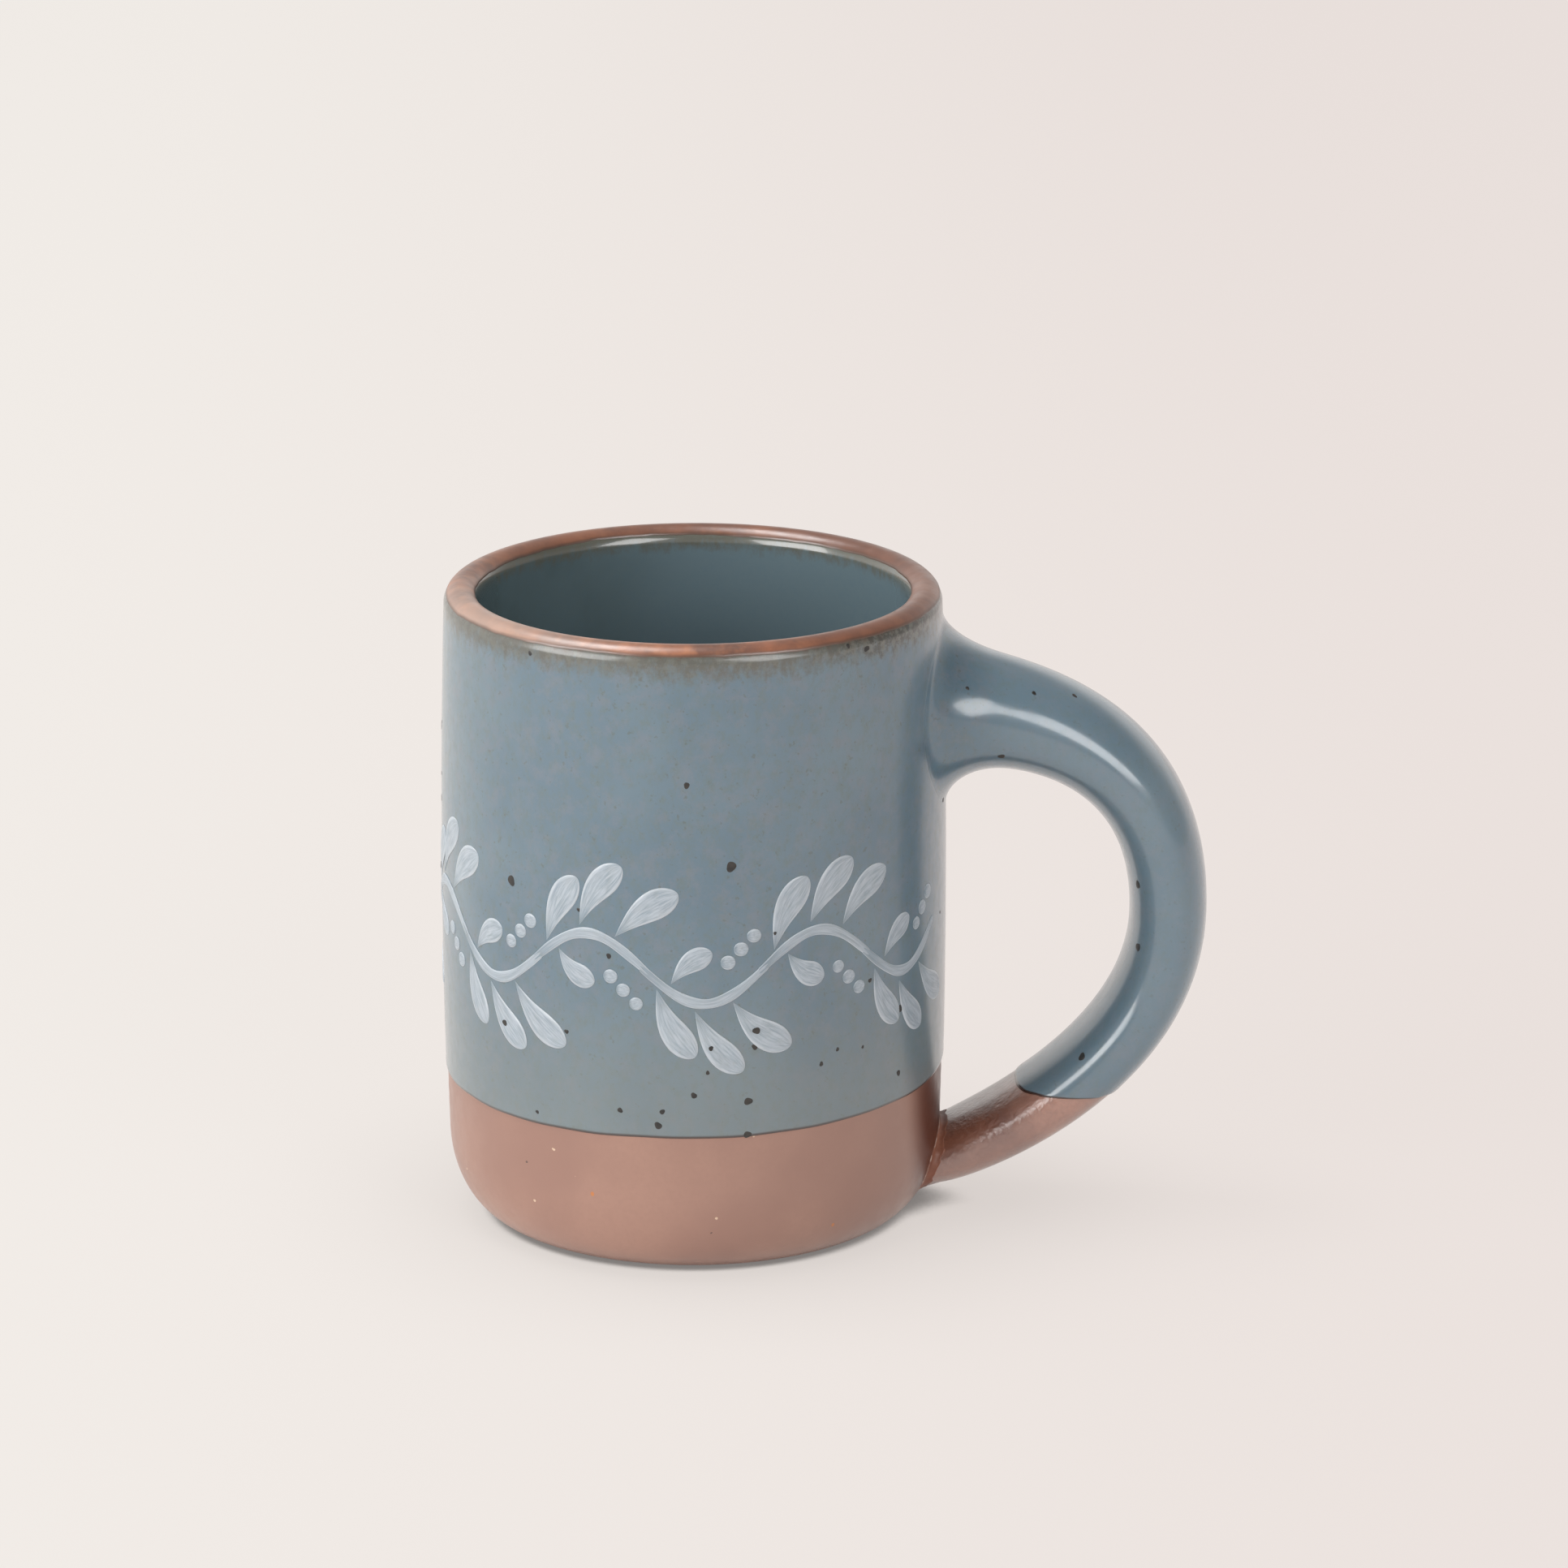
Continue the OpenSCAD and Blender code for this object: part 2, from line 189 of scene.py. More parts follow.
# %% Waves that stand for an unsteady hand
def waver(turn, size, cycles, seed):
    """A closed wavering line: sines of a few whole cycles round the cup, with phases drawn from
    a seed, each weaker as it gets finer, scaled to about the size given."""
    draw = np.random.default_rng(seed)
    phases = draw.uniform(0, 2 * np.pi, len(cycles))
    parts = [np.sin(n * turn + p) / (1 + i * 0.5) for i, (n, p) in enumerate(zip(cycles, phases))]
    return size * sum(parts) / math.sqrt(len(cycles))


# %% [markdown]
# ## Colours and finishes
#
# The glaze isn't one colour. It is thin and brown over an edge, thick and blue-grey on the wall,
# and clouded everywhere by the iron in the clay. These finishes are built from noise on Object
# coordinates, so wall, collar and handle share one cloud pattern with no seam between them.
# Colours are written as a screen shows them, from 0 to 255, and turned into linear light here.

# %% Helpers for node materials
def tint(red, green, blue):
    """A screen colour as linear light, by the sRGB curve."""
    c = np.array([red, green, blue]) / 255
    linear = np.where(c <= 0.04045, c / 12.92, ((c + 0.055) / 1.055) ** 2.4)
    return (*linear.tolist(), 1.0)


def put(tree, kind, inputs=(), **settings):
    """Adds a node, applies its settings and feeds each input with a value or an output."""
    node = tree.nodes.new("ShaderNode" + kind)
    for key, value in settings.items():
        setattr(node, key, value)
    for key, value in dict(inputs).items():
        if isinstance(value, bpy.types.NodeSocket):
            tree.links.new(value, node.inputs[key])
        else:
            node.inputs[key].default_value = value
    return node


def place_in(tree):
    """Object coordinates, which are the frame's own metres."""
    return put(tree, "TexCoord").outputs["Object"]


def cloud(tree, size_mm, vector=None, detail=2.0, rough=0.5):
    """Soft noise with lumps of about the given size, from 0 to 1."""
    inputs = {"Vector": vector or place_in(tree), "Scale": 1 / (size_mm * MM), "Detail": detail}
    return put(tree, "TexNoise", {**inputs, "Roughness": rough}).outputs["Fac"]


def window(tree, value, low, high, to_low=0.0, to_high=1.0):
    """Maps low..high to to_low..to_high on a soft S curve, and holds the ends."""
    inputs = {"Value": value, 1: low, 2: high, 3: to_low, 4: to_high}
    return put(tree, "MapRange", inputs, interpolation_type="SMOOTHSTEP").outputs["Result"]


def maths(tree, operation, a, b=0.0):
    """One sum on two values or outputs."""
    return put(tree, "Math", {0: a, 1: b}, operation=operation).outputs[0]


def mix(tree, share, a, b):
    """Colour a where share is 0 and colour b where it is 1."""
    return put(tree, "Mix", {0: share, 6: a, 7: b}, data_type="RGBA").outputs[2]


def patches(tree, size_mm, over, most=1.0, **noise):
    """Share of a second colour in lumps of about the given size: 0 where the noise is under the
    range over, and most where it is above it."""
    return window(tree, cloud(tree, size_mm, **noise), *over, 0, most)


def along_axis(tree, axis):
    """Place along the frame's X, Y or Z in millimetres. Z counts from the table."""
    place = put(tree, "SeparateXYZ", {0: place_in(tree)}).outputs[axis]
    return maths(tree, "DIVIDE", place, MM)


def read(tree, name):
    """One of the piece's own attributes."""
    return put(tree, "Attribute", attribute_name=name).outputs["Fac"]


def rimmed(tree, colour, rim, low, high, most=1.0):
    """A colour with another along the piece's edge: most of it up to low millimetres from the
    edge, and none from high on."""
    return mix(tree, window(tree, read(tree, "edge"), low, high, most, 0), colour, rim)


def relief(size_mm, depth_mm, detail=2.0):
    """One layer of bumps for a finish, as a height function and its depth."""
    return (lambda tree: cloud(tree, size_mm, detail=detail)), depth_mm


def fine_gloss(low, high):
    """Roughness that drifts between two values in small clouds."""
    return lambda tree: window(tree, cloud(tree, 2.4, detail=3), 0.3, 0.7, low, high)


def new_finish(name, colour, roughness, bump=(), ior=1.6, coat=None):
    """A material on one glossy shader. colour and roughness are functions of the tree, or fixed,
    each bump is a height function with its depth in millimetres, and coat is the share and the
    roughness of a second gloss on top."""
    material = bpy.data.materials.new(name)
    material.use_nodes = True
    tree = material.node_tree
    shader = tree.nodes["Principled BSDF"]
    shader.inputs["IOR"].default_value = ior
    if coat:
        shader.inputs["Coat Weight"].default_value = coat[0]
        shader.inputs["Coat Roughness"].default_value = coat[1]
    for key, value in {"Base Color": colour, "Roughness": roughness}.items():
        if callable(value):
            tree.links.new(value(tree), shader.inputs[key])
        else:
            shader.inputs[key].default_value = value
    normal = None
    for height, depth in bump:
        inputs = {"Height": height(tree), "Distance": depth * MM}
        if normal:
            inputs["Normal"] = normal
        normal = put(tree, "Bump", inputs).outputs["Normal"]
    if normal:
        tree.links.new(normal, shader.inputs["Normal"])
    return material


# %% [markdown]
# ### Glaze
#
# Noise of four sizes carries the blue-grey: a broad drift in lightness, small clouds where olive
# and pink come through, and flecks. Near the lip the coat runs thin, so the last millimetres turn
# olive-brown in downward streaks. At the dip line the edge is nearly clay, which is why it reads
# as a thin dark line. A painted texture could hold all this, but the noise has no seams and no
# limit of sharpness. The gloss drifts too. Each range of roughness stays on one side of 0.27,
# because a surface that crosses it comes out of the render's denoiser with dark marks.

# %% The glaze colour that wall, collar and handle share
GLAZE = tint(88, 112, 127)
GLAZE_PALE = tint(100, 122, 134)
GLAZE_OLIVE = tint(96, 107, 99)
GLAZE_PINK = tint(113, 119, 129)
GLAZE_THIN = tint(120, 127, 125)
BREAK_OLIVE = tint(98, 94, 80)
BREAK_DARK = tint(50, 48, 42)
BREAK_BROWN = tint(84, 60, 46)
EDGE_DARK = tint(58, 44, 40)
FLECK = tint(84, 90, 80)
STRAP_PALE = tint(117, 137, 149)
# The range in which most noise lies, so that a mix over it shows about as much of each colour.
evenly = (0.35, 0.68)


def stretched(tree, along_z):
    """Object coordinates with Z drawn out, so that noise on them runs down in streaks."""
    return put(tree, "Mapping", {0: place_in(tree), "Scale": (1, 1, 1 / along_z)}).outputs[0]


def glaze_colour(tree):
    """Broad drift, then olive and pink clouds, then flecks."""
    drift = patches(tree, 26, evenly, detail=3)
    colour = mix(tree, drift, GLAZE, GLAZE_PALE)
    drawn = stretched(tree, 1.4)
    olive = patches(tree, 1.8, (0.42, 0.72), 0.5, vector=drawn, detail=5, rough=0.75)
    colour = mix(tree, olive, colour, GLAZE_OLIVE)
    shifted = put(tree, "Mapping", {0: place_in(tree), "Location": (0.3, 0.1, 0.2)}).outputs[0]
    pink = patches(tree, 3.2, (0.44, 0.7), 0.5, vector=shifted, detail=5, rough=0.7)
    colour = mix(tree, pink, colour, GLAZE_PINK)
    fleck = patches(tree, 1.0, (0.62, 0.74), 0.5, detail=2, rough=0.6)
    return mix(tree, fleck, colour, FLECK)


def break_share(tree, above, depth, most):
    """How thin the glaze runs near the lip: most from a height above the lip's middle, and 0 from
    twice the depth under that, with the border pushed up and down by streaky noise."""
    push = depth * 0.75
    streaks = cloud(tree, 1.5, stretched(tree, 1.5), detail=5, rough=0.7)
    ragged = window(tree, streaks, 0.25, 0.8, -push, push)
    height = maths(tree, "ADD", along_axis(tree, "Z"), ragged)
    top = lip_z + above
    return window(tree, height, top - depth * 2, top, 0, most)


def wall_colour(tree):
    """The shared glaze, thinner towards the dip line and dark at it. Below the lip it breaks to
    olive and brown, and to dark patches that are weighted towards the handle as painted shade."""
    thinner = window(tree, read(tree, "edge"), 1, 30, 0.5, 0)
    colour = mix(tree, thinner, glaze_colour(tree), GLAZE_THIN)
    thin = break_share(tree, above=0.6, depth=2.2, most=0.85)
    colour = mix(tree, thin, colour, BREAK_OLIVE)
    dark = patches(tree, 1.4, (0.42, 0.56), detail=4, rough=0.7)
    # Painted shade: the dark patches grow more common towards the handle.
    shade_by_handle = window(tree, along_axis(tree, "X"), 18, 32, 0.35, 1)
    dark = maths(tree, "MULTIPLY", dark, shade_by_handle)
    colour = mix(tree, maths(tree, "MULTIPLY", dark, thin), colour, BREAK_DARK)
    colour = mix(tree, break_share(tree, above=2.2, depth=0.8, most=0.8), colour, BREAK_BROWN)
    return rimmed(tree, colour, EDGE_DARK, 0.25, 0.7)


def handle_colour(tree):
    """The shared glaze, a little paler away from the wall and dark at the handle's dip line."""
    paler = window(tree, along_axis(tree, "X"), 42, 54, 0, 0.4)
    colour = mix(tree, paler, glaze_colour(tree), STRAP_PALE)
    return rimmed(tree, colour, EDGE_DARK, 0.3, 0.75)


glaze_skin = (relief(8, 0.03, detail=1), relief(0.6, 0.002))
wall_glaze = new_finish(
    "wall_glaze", wall_colour, fine_gloss(0.4, 0.5), glaze_skin, ior=1.6, coat=(1.0, 0.18)
)
strap_glaze = new_finish(
    "strap_glaze", handle_colour, fine_gloss(0.18, 0.25), glaze_skin, ior=1.7, coat=(0.5, 0.1)
)

# %% The darker glaze inside
LINER = tint(104, 122, 129)
# The inner wall in painted shade, on its left.
LINER_SHADE = tint(74, 88, 86)


def liner_colour(tree):
    """Painted shade on the left of the inner wall, broken by a drift, then a grain, and an olive
    break below the lip.
    """
    # Painted shade: the inside is darker to the left.
    left = window(tree, along_axis(tree, "X"), -36, 2, 0.95, 0)
    drift = window(tree, cloud(tree, 14, detail=3), *evenly, 0.6, 1)
    colour = mix(tree, maths(tree, "MULTIPLY", left, drift), LINER, LINER_SHADE)
    grain = patches(tree, 1.2, (0.35, 0.75), 0.15, detail=3, rough=0.6)
    colour = mix(tree, grain, colour, GLAZE)
    colour = mix(tree, break_share(tree, above=1.0, depth=1.5, most=0.85), colour, BREAK_OLIVE)
    return mix(tree, break_share(tree, above=2.4, depth=0.6, most=0.8), colour, BREAK_DARK)


liner_finish = new_finish(
    "liner_glaze_finish", liner_colour, fine_gloss(0.2, 0.26), glaze_skin[:1], coat=(1.0, 0.08)
)

# %% The brown lip, where the coat has run off
LIP_BROWN = tint(166, 108, 80)
LIP_DARK = tint(110, 74, 60)
LIP_WARM = tint(190, 128, 92)
# The lip's painted sheen, at the left front.
LIP_SHEEN = tint(196, 172, 158)


def lip_colour(tree):
    """Brown that drifts round the lip, with a painted sheen at the left front and painted shade
    to the right and at the back, and darkest in a thin line where the blue glaze begins."""
    drift = patches(tree, 9, evenly, detail=4, rough=0.6)
    colour = mix(tree, drift, LIP_DARK, LIP_BROWN)
    warm = patches(tree, 4, (0.45, 0.7), 0.5, detail=3, rough=0.6)
    colour = mix(tree, warm, colour, LIP_WARM)
    x, y = along_axis(tree, "X"), along_axis(tree, "Y")
    # Painted sheen: the left front of the lip is paler.
    left = window(tree, x, -40, -2, 0.7, 0)
    front = window(tree, y, -25, 10, 1, 0.1)
    colour = mix(tree, maths(tree, "MULTIPLY", left, front), colour, LIP_SHEEN)
    # Painted shade: the lip is darker to the right and at the back.
    right = window(tree, x, 4, 28, 0, 0.7)
    colour = mix(tree, right, colour, LIP_DARK)
    back = window(tree, y, 0, 25, 0, 0.5)
    colour = mix(tree, back, colour, LIP_DARK)
    return rimmed(tree, colour, BREAK_BROWN, 0.15, 0.9, 0.85)


lip_skin = (relief(1.6, 0.02),)
lip_finish = new_finish("lip_finish", lip_colour, fine_gloss(0.29, 0.38), lip_skin, ior=1.85)

# %% [markdown]
# ### Bare clay
#
# Below the glaze line the fired clay shows: red-brown, with a fine tooth and a few dark, pale or
# rusty grains of grit. The grains are cells of Voronoi noise that are cut off close round their
# centres, so most cells miss the surface and only some leave a dot. The strap shines more than
# the cup and has a coarser tooth, so it gets a clay of its own with a second gloss on top.

# %% Clay colours
CLAY = tint(164, 125, 109)
CLAY_DEEP = tint(152, 114, 100)
GRIT_PALE = tint(214, 186, 160)
GRIT_RUST = tint(190, 118, 62)
GRIT_DARK = tint(92, 68, 60)
STRAP_CLAY = tint(180, 122, 98)
STRAP_DEEP = tint(112, 58, 36)
# Painted shade and a painted dark reflection of the handle, on the cup's clay beside it.
CLAY_HANDLE_SHADE = tint(84, 34, 14)
# The painted highlight along the seam at the handle's lower end.
SEAM_HIGHLIGHT = tint(214, 190, 176)
bend_mm = 0.8
bend_by = 0.5


def dots(tree, spacing, radius):
    """1 inside small balls, bent out of round, one in each cell of the given spacing in
    millimetres, and 0 elsewhere."""
    bending = {"Vector": place_in(tree), "Scale": 1 / (bend_mm * MM)}
    bent = put(tree, "TexNoise", bending).outputs["Color"]
    shift = put(tree, "VectorMath", {0: bent, "Scale": bend_by * MM}, operation="SCALE").outputs[0]
    moved = put(tree, "VectorMath", {0: place_in(tree), 1: shift}).outputs[0]
    cells = put(tree, "TexVoronoi", {"Vector": moved, "Scale": 1 / (spacing * MM)})
    share = radius / spacing
    return window(tree, cells.outputs["Distance"], share * 0.7, share, 1, 0)


def clay_colour(tree, base, deep):
    """Drift between two clays, a fine grain, and dark, pale and rusty grit."""
    colour = mix(tree, patches(tree, 22, evenly, detail=3), base, deep)
    grain = patches(tree, 0.9, (0.3, 0.75), 0.35, detail=4, rough=0.6)
    colour = mix(tree, grain, colour, deep)
    colour = mix(tree, dots(tree, 9.0, 0.3), colour, GRIT_DARK)
    colour = mix(tree, dots(tree, 5.5, 0.3), colour, GRIT_PALE)
    return mix(tree, dots(tree, 14.0, 0.42), colour, GRIT_RUST)


def body_colour(tree):
    """The cup's clay, darkened where it faces the handle by painted shade and a painted dark
    reflection of the handle.
    """
    # Painted shade: darker where the cup's clay faces the handle.
    handle_shade = window(tree, along_axis(tree, "X"), 35, 39, 0, 0.9)
    return mix(tree, handle_shade, clay_colour(tree, CLAY, CLAY_DEEP), CLAY_HANDLE_SHADE)


def strap_colour(tree):
    """The strap's clay, redder than the cup's."""
    return clay_colour(tree, STRAP_CLAY, STRAP_DEEP)


def seam_colour(tree):
    """The strap's clay with a broken pale hairline beside the cup, a painted highlight along the
    seam.
    """
    colour = strap_colour(tree)
    # Painted highlight: a broken pale line along the seam beside the cup.
    line = window(tree, read(tree, "across"), 0.06, 0.2, 1, 0)
    broken = window(tree, cloud(tree, 1.2, detail=3), 0.42, 0.6, 0.1, 0.9)
    return mix(tree, maths(tree, "MULTIPLY", line, broken), colour, SEAM_HIGHLIGHT)


clay_swell = relief(6, 0.02)
clay_tooth = (relief(1.6, 0.003), clay_swell)
strap_tooth = (relief(0.9, 0.24, detail=4), clay_swell)
body_clay = new_finish("body_clay", body_colour, fine_gloss(0.29, 0.36), clay_tooth, ior=1.75)
strap_clay = new_finish(
    "strap_clay", strap_colour, fine_gloss(0.29, 0.33), strap_tooth, ior=2.4, coat=(1.0, 0.3)
)
seam_clay = new_finish("seam_clay", seam_colour, 0.5, clay_tooth)

# %% [markdown]
# ## The cup
#
# The cup is a profile turned round its axis, as it was thrown. Its outline runs from the recess
# under the foot, over the ring that it stands on, up the rounded corner and the wall, over the
# lip and down inside. Faint throwing rings are left in the clay, because a wheel leaves them.

# %% Turn a profile
def at_turn(radius, turn, height):
    """Points at a radius from the cup's axis, an angle round it and a height."""
    return np.stack([radius * np.cos(turn), radius * np.sin(turn), height], -1)


def turned(radius, height, turn):
    """Points at each radius and height, turned to each angle. Radius and height may be one
    number a row, or one a row and column."""
    radius, height = (v if v.ndim == 2 else v[:, None] for v in (radius, height))
    radius, height, turn = np.broadcast_arrays(radius, height, turn)
    return at_turn(radius, turn, height)


def all_round(columns):
    """Evenly spaced angles all the way round."""
    return np.linspace(0, 2 * np.pi, columns, endpoint=False)


def for_each_turn(values, turn):
    """A list of values as rows, repeated in one column for each angle."""
    return np.tile(values[:, None], (1, len(turn)))


def lip_arc(a, off):
    """Radius and height on the round of the lip, off above the clay. The angle a is 0 outside, a
    quarter turn on the crown and half a turn inside."""
    return wall_r(lip_z) - lip_r + (lip_r + off) * np.cos(a), lip_z + (lip_r + off) * np.sin(a)


def well_arc(steps, off):
    """Radius and height along the rounded corner between the inner wall and the floor."""
    a = np.radians(np.linspace(0, -90, steps))
    z = floor_z + well_r
    return wall_r(z) - wall_t - well_r + (well_r - off) * np.cos(a), z + (well_r - off) * np.sin(a)


# %% The clay cup
hub_r = 2.0
ring_depth = 0.02
ring_pitch = 2.9


def joined(*stretches):
    """Stretches of an outline, one after the other, as one radius and one height array."""
    return tuple(np.concatenate(values) for values in zip(*stretches))


def softened(radius, height, reach=0.5, steps=5):
    """An outline with each corner rounded by a quadratic curve that starts at reach from it."""
    p = np.stack([radius, height], -1)
    before, corner, after = p[:-2], p[1:-1], p[2:]
    to_before, to_after = before - corner, after - corner
    length = [np.linalg.norm(v, axis=1, keepdims=True) for v in (to_before, to_after)]
    start = corner + to_before / length[0] * np.minimum(reach, length[0] / 2)
    end = corner + to_after / length[1] * np.minimum(reach, length[1] / 2)
    t = np.linspace(0, 1, steps)[:, None]
    curves = start[:, None] * (1 - t) ** 2 + corner[:, None] * 2 * t * (1 - t) + end[:, None] * t**2
    both = np.vstack([p[:1], curves.reshape(-1, 2), p[-1:]])
    return both[:, 0], both[:, 1]


def cup_outline():
    """The whole outline of the clay, from the middle of the underside to the middle inside. Both
    ends stop at a small radius, where a fan of triangles closes them."""
    foot = softened(
        np.array([hub_r, foot_r - foot_w - foot_recess, foot_r - foot_w, foot_r]),
        np.array([foot_recess, foot_recess, 0, 0]),
    )
    a = np.radians(np.linspace(2, 90, 30))
    corner = foot_r + corner_in * np.sin(a), corner_h * (1 - np.cos(a))
    z = np.linspace(corner_h, lip_z, 70)[1:-1]
    rings = ring_depth * np.sin(2 * np.pi * z / ring_pitch)
    lip = lip_arc(np.linspace(0, np.pi, 26), 0)
    inside = np.linspace(lip_z, floor_z + well_r, 40)[1:-1]
    floor = np.linspace(wall_r(floor_z + well_r) - wall_t - well_r, hub_r, 8)[1:]
    return joined(
        foot,
        corner,
        (wall_r(z) + rings, z),
        lip,
        (wall_r(inside) - wall_t, inside),
        well_arc(16, 0),
        (floor, np.full_like(floor, floor_z)),
    )


turn = all_round(256)
cup = lay("clay_cup", turned(*cup_outline(), turn))
finish_piece(cup, body_clay, "bare_clay", "cup_body")

# %% [markdown]
# ## The glaze on the wall
#
# The coat is a thin closed shell. Its lower edge isn't level: the cup was dipped a little aslant,
# and the line wavers. The last half millimetre thins to nothing on a quarter of an ellipse, with
# a slight bead above it where the liquid gathered. At the top the coat runs up under the brown
# band and thins, so the band's ragged edge is where the two surfaces really cross.

# %% The wall's coat
dip_tilt_x = 0.66
dip_tilt_y = 0.57
edge_w = 0.45
edge_bead = 0.12
coat_over = 52
shoulder_thin = 0.2
hidden = -0.5
far_from_edge = 9.0


def dip_line(turn):
    """Height of the wall's glaze line: level, plus the tilt of the dip, plus a waver."""
    tilt = dip_tilt_x * np.cos(turn) + dip_tilt_y * np.sin(turn)
    return dip_z + tilt + waver(turn, 0.16, (3, 7, 13, 22), 3)


def rolled(distance):
    """Share of the full thickness at a distance from the edge: a quarter of an ellipse, with a
    bell-shaped bead just behind it."""
    t = np.clip(distance / edge_w, 0, 1)
    bead = edge_bead * np.exp(-((distance / edge_w - 2) ** 2))
    return np.sqrt(1 - (1 - t) ** 2) + bead


def thinned(leant):
    """Thickness of a coat that thins over the shoulder of the lip, by its angle from upright."""
    return glaze_t - shoulder_thin * np.clip((leant - 0.1) / 0.8, 0, 1)


def wall_coat():
    """The outer face from the dip line up over the shoulder of the lip, then back inside the
    clay, with each point's distance from the dip line."""
    turn = all_round(360)
    near = np.array([0, 0.02, 0.06, 0.12, 0.2, 0.3, 0.42, 0.56, 0.75, 1.0, 1.3, 1.7, 2.2])
    up = np.concatenate([near, np.linspace(3, lip_z - dip_z, 70)])[:, None]
    edge = dip_line(turn)
    z = edge + up * (lip_z - edge) / (lip_z - dip_z)
    uneven = 0.03 * waver(turn + z / 30, 1, (2, 5, 9), 4)
    r = wall_r(z) + glaze_t * rolled(z - edge) + uneven * np.clip((z - edge) / 4, 0, 1)
    shoulder = for_each_turn(np.radians(np.linspace(0, coat_over, 14))[1:], turn)
    top_r, top_z = lip_arc(shoulder, thinned(shoulder))
    back_z = for_each_turn(np.linspace(lip_z, dip_z + 3, 12), turn)
    radius = np.vstack([r, top_r, wall_r(back_z) + hidden])
    height = np.vstack([z, top_z, back_z])
    from_edge = [z - edge, top_z - edge, np.full_like(back_z, far_from_edge)]
    return turned(radius, height, turn), np.vstack(from_edge)


grid, edge = wall_coat()
wall = lay("wall_glaze_coat", grid, rows_close=True, edge=edge)
finish_piece(wall, wall_glaze, "outer_glaze", "outer_glaze")

# %% The coat inside
def liner_coat():
    """The coat over the floor, the well and the inner wall up to the lip, and back behind it."""
    floor_r = wall_r(floor_z + well_r) - wall_t - well_r
    z = np.linspace(floor_z + well_r, lip_z, 60)
    arc_r, arc_z = (v[::-1] for v in well_arc(20, glaze_t))
    a = np.radians(np.linspace(180, 180 - coat_over, 14))[1:]
    lip = lip_arc(a, thinned(np.pi - a))
    back = z[::-1]
    face_floor = np.linspace(hub_r, floor_r, 12)[:-1]
    back_floor = face_floor[::-1]
    radius, height = joined(
        (face_floor, np.full_like(face_floor, floor_z + glaze_t)),
        (arc_r, arc_z),
        (wall_r(z[1:]) - wall_t - glaze_t, z[1:]),
        lip,
        (wall_r(back) - wall_t - hidden, back),
        well_arc(12, hidden),
        (back_floor, np.full_like(back_floor, floor_z + hidden)),
    )
    return turned(radius, height, all_round(256))


liner = lay("liner_glaze_coat", liner_coat())
finish_piece(liner, liner_finish, "liner_glaze", "liner_glaze")

# %% The brown band over the lip
band_out = 26
band_in = 28
band_waver = 5
band_under = 0.02
band_sink = 0.14
band_edge_w = 0.5


def lip_band():
    """The band from one wavering edge over the crown to the other. It stands a hair proud of the
    thinned glaze and sinks under it at both edges."""
    turn = all_round(480)
    low = band_out + waver(turn, band_waver, (2, 5, 11, 19, 37, 61), 7)
    high = 180 - band_in - waver(turn, band_waver, (3, 4, 12, 23, 41, 67), 8)
    share = (1 - np.cos(np.pi * np.linspace(0, 1, 30)))[:, None] / 2
    a = np.radians(low + (high - low) * share)
    arc = (lip_r + glaze_t) * np.minimum(a - a[0], a[-1] - a)
    off = glaze_t - band_under - band_sink * np.clip(1 - arc / band_edge_w, 0, 1) ** 2
    back = np.radians(high + (low - high) * np.linspace(0.02, 0.98, 10)[:, None])
    depth = np.vstack([off, np.full_like(back, hidden)])
    radius, height = lip_arc(np.vstack([a, back]), depth)
    return turned(radius, height, turn), np.vstack([arc, np.zeros_like(back)])


grid, edge = lip_band()
band = lay("lip_band", grid, rows_close=True, edge=edge)
finish_piece(band, lip_finish, "rim_glaze", "rim_band")

# %% [markdown]
# ## The handle
#
# A pulled handle is a strap of clay, drawn thin and wet, so its section changes all the way:
# thick and oval at the root, slimmer past the shoulder, and slight and a little boxy at the lower
# end. Its middle line is two cubic curves that meet where the handle reaches furthest. A point of
# its skin is the middle line, plus half the thickness along the normal and half the width
# sideways. A curve with a bevel could taper it, but its section would keep one shape.

# %% The middle line and the section
reach = 79.4
bend_z = 51.6
root_z = cup_h - 21.3
toe_z = 8.3
toe_angle = math.radians(17)
end_r = cup_d / 2 - wall_t / 6
# These three change from the root to the lower end as cubics, each given by its four values.
thickness = (22.3, 8.6, 13.7, 8.5)
width = (25.0, 23.0, 23.0, 19.5)
section_power = (2.0, 2.0, 2.6, 2.4)
root_pull = 0.238
bend_pull_up = 0.926
bend_pull_down = 0.64
toe_pull = 0.15

handle_depth = reach - end_r
toe_way = np.array([math.cos(toe_angle), math.sin(toe_angle)])
upper_line = np.array([
    [end_r, root_z],
    [end_r + handle_depth * root_pull, root_z],
    [reach, bend_z + (root_z - bend_z) * bend_pull_up],
    [reach, bend_z],
])
lower_line = np.array([
    [reach, bend_z],
    [reach, bend_z - (bend_z - toe_z) * bend_pull_down],
    np.array([end_r, toe_z]) + handle_depth * toe_pull * toe_way,
    [end_r, toe_z],
])


def cubic(p, t):
    """Cubic curve through its first and last value, pulled by the two between."""
    return p[0] * (1 - t) ** 3 + 3 * p[1] * (1 - t) ** 2 * t + 3 * p[2] * (1 - t) * t**2 + p[3] * t**3


def cubic_way(p, t):
    """Direction of that curve: a third of its slope."""
    return (p[1] - p[0]) * (1 - t) ** 2 + 2 * (p[2] - p[1]) * (1 - t) * t + (p[3] - p[2]) * t**2


def boxed(c, power):
    """A cosine or sine pushed out towards the corners of a box: it is raised to 2 over power."""
    return np.sign(c) * np.abs(c) ** (2 / power)


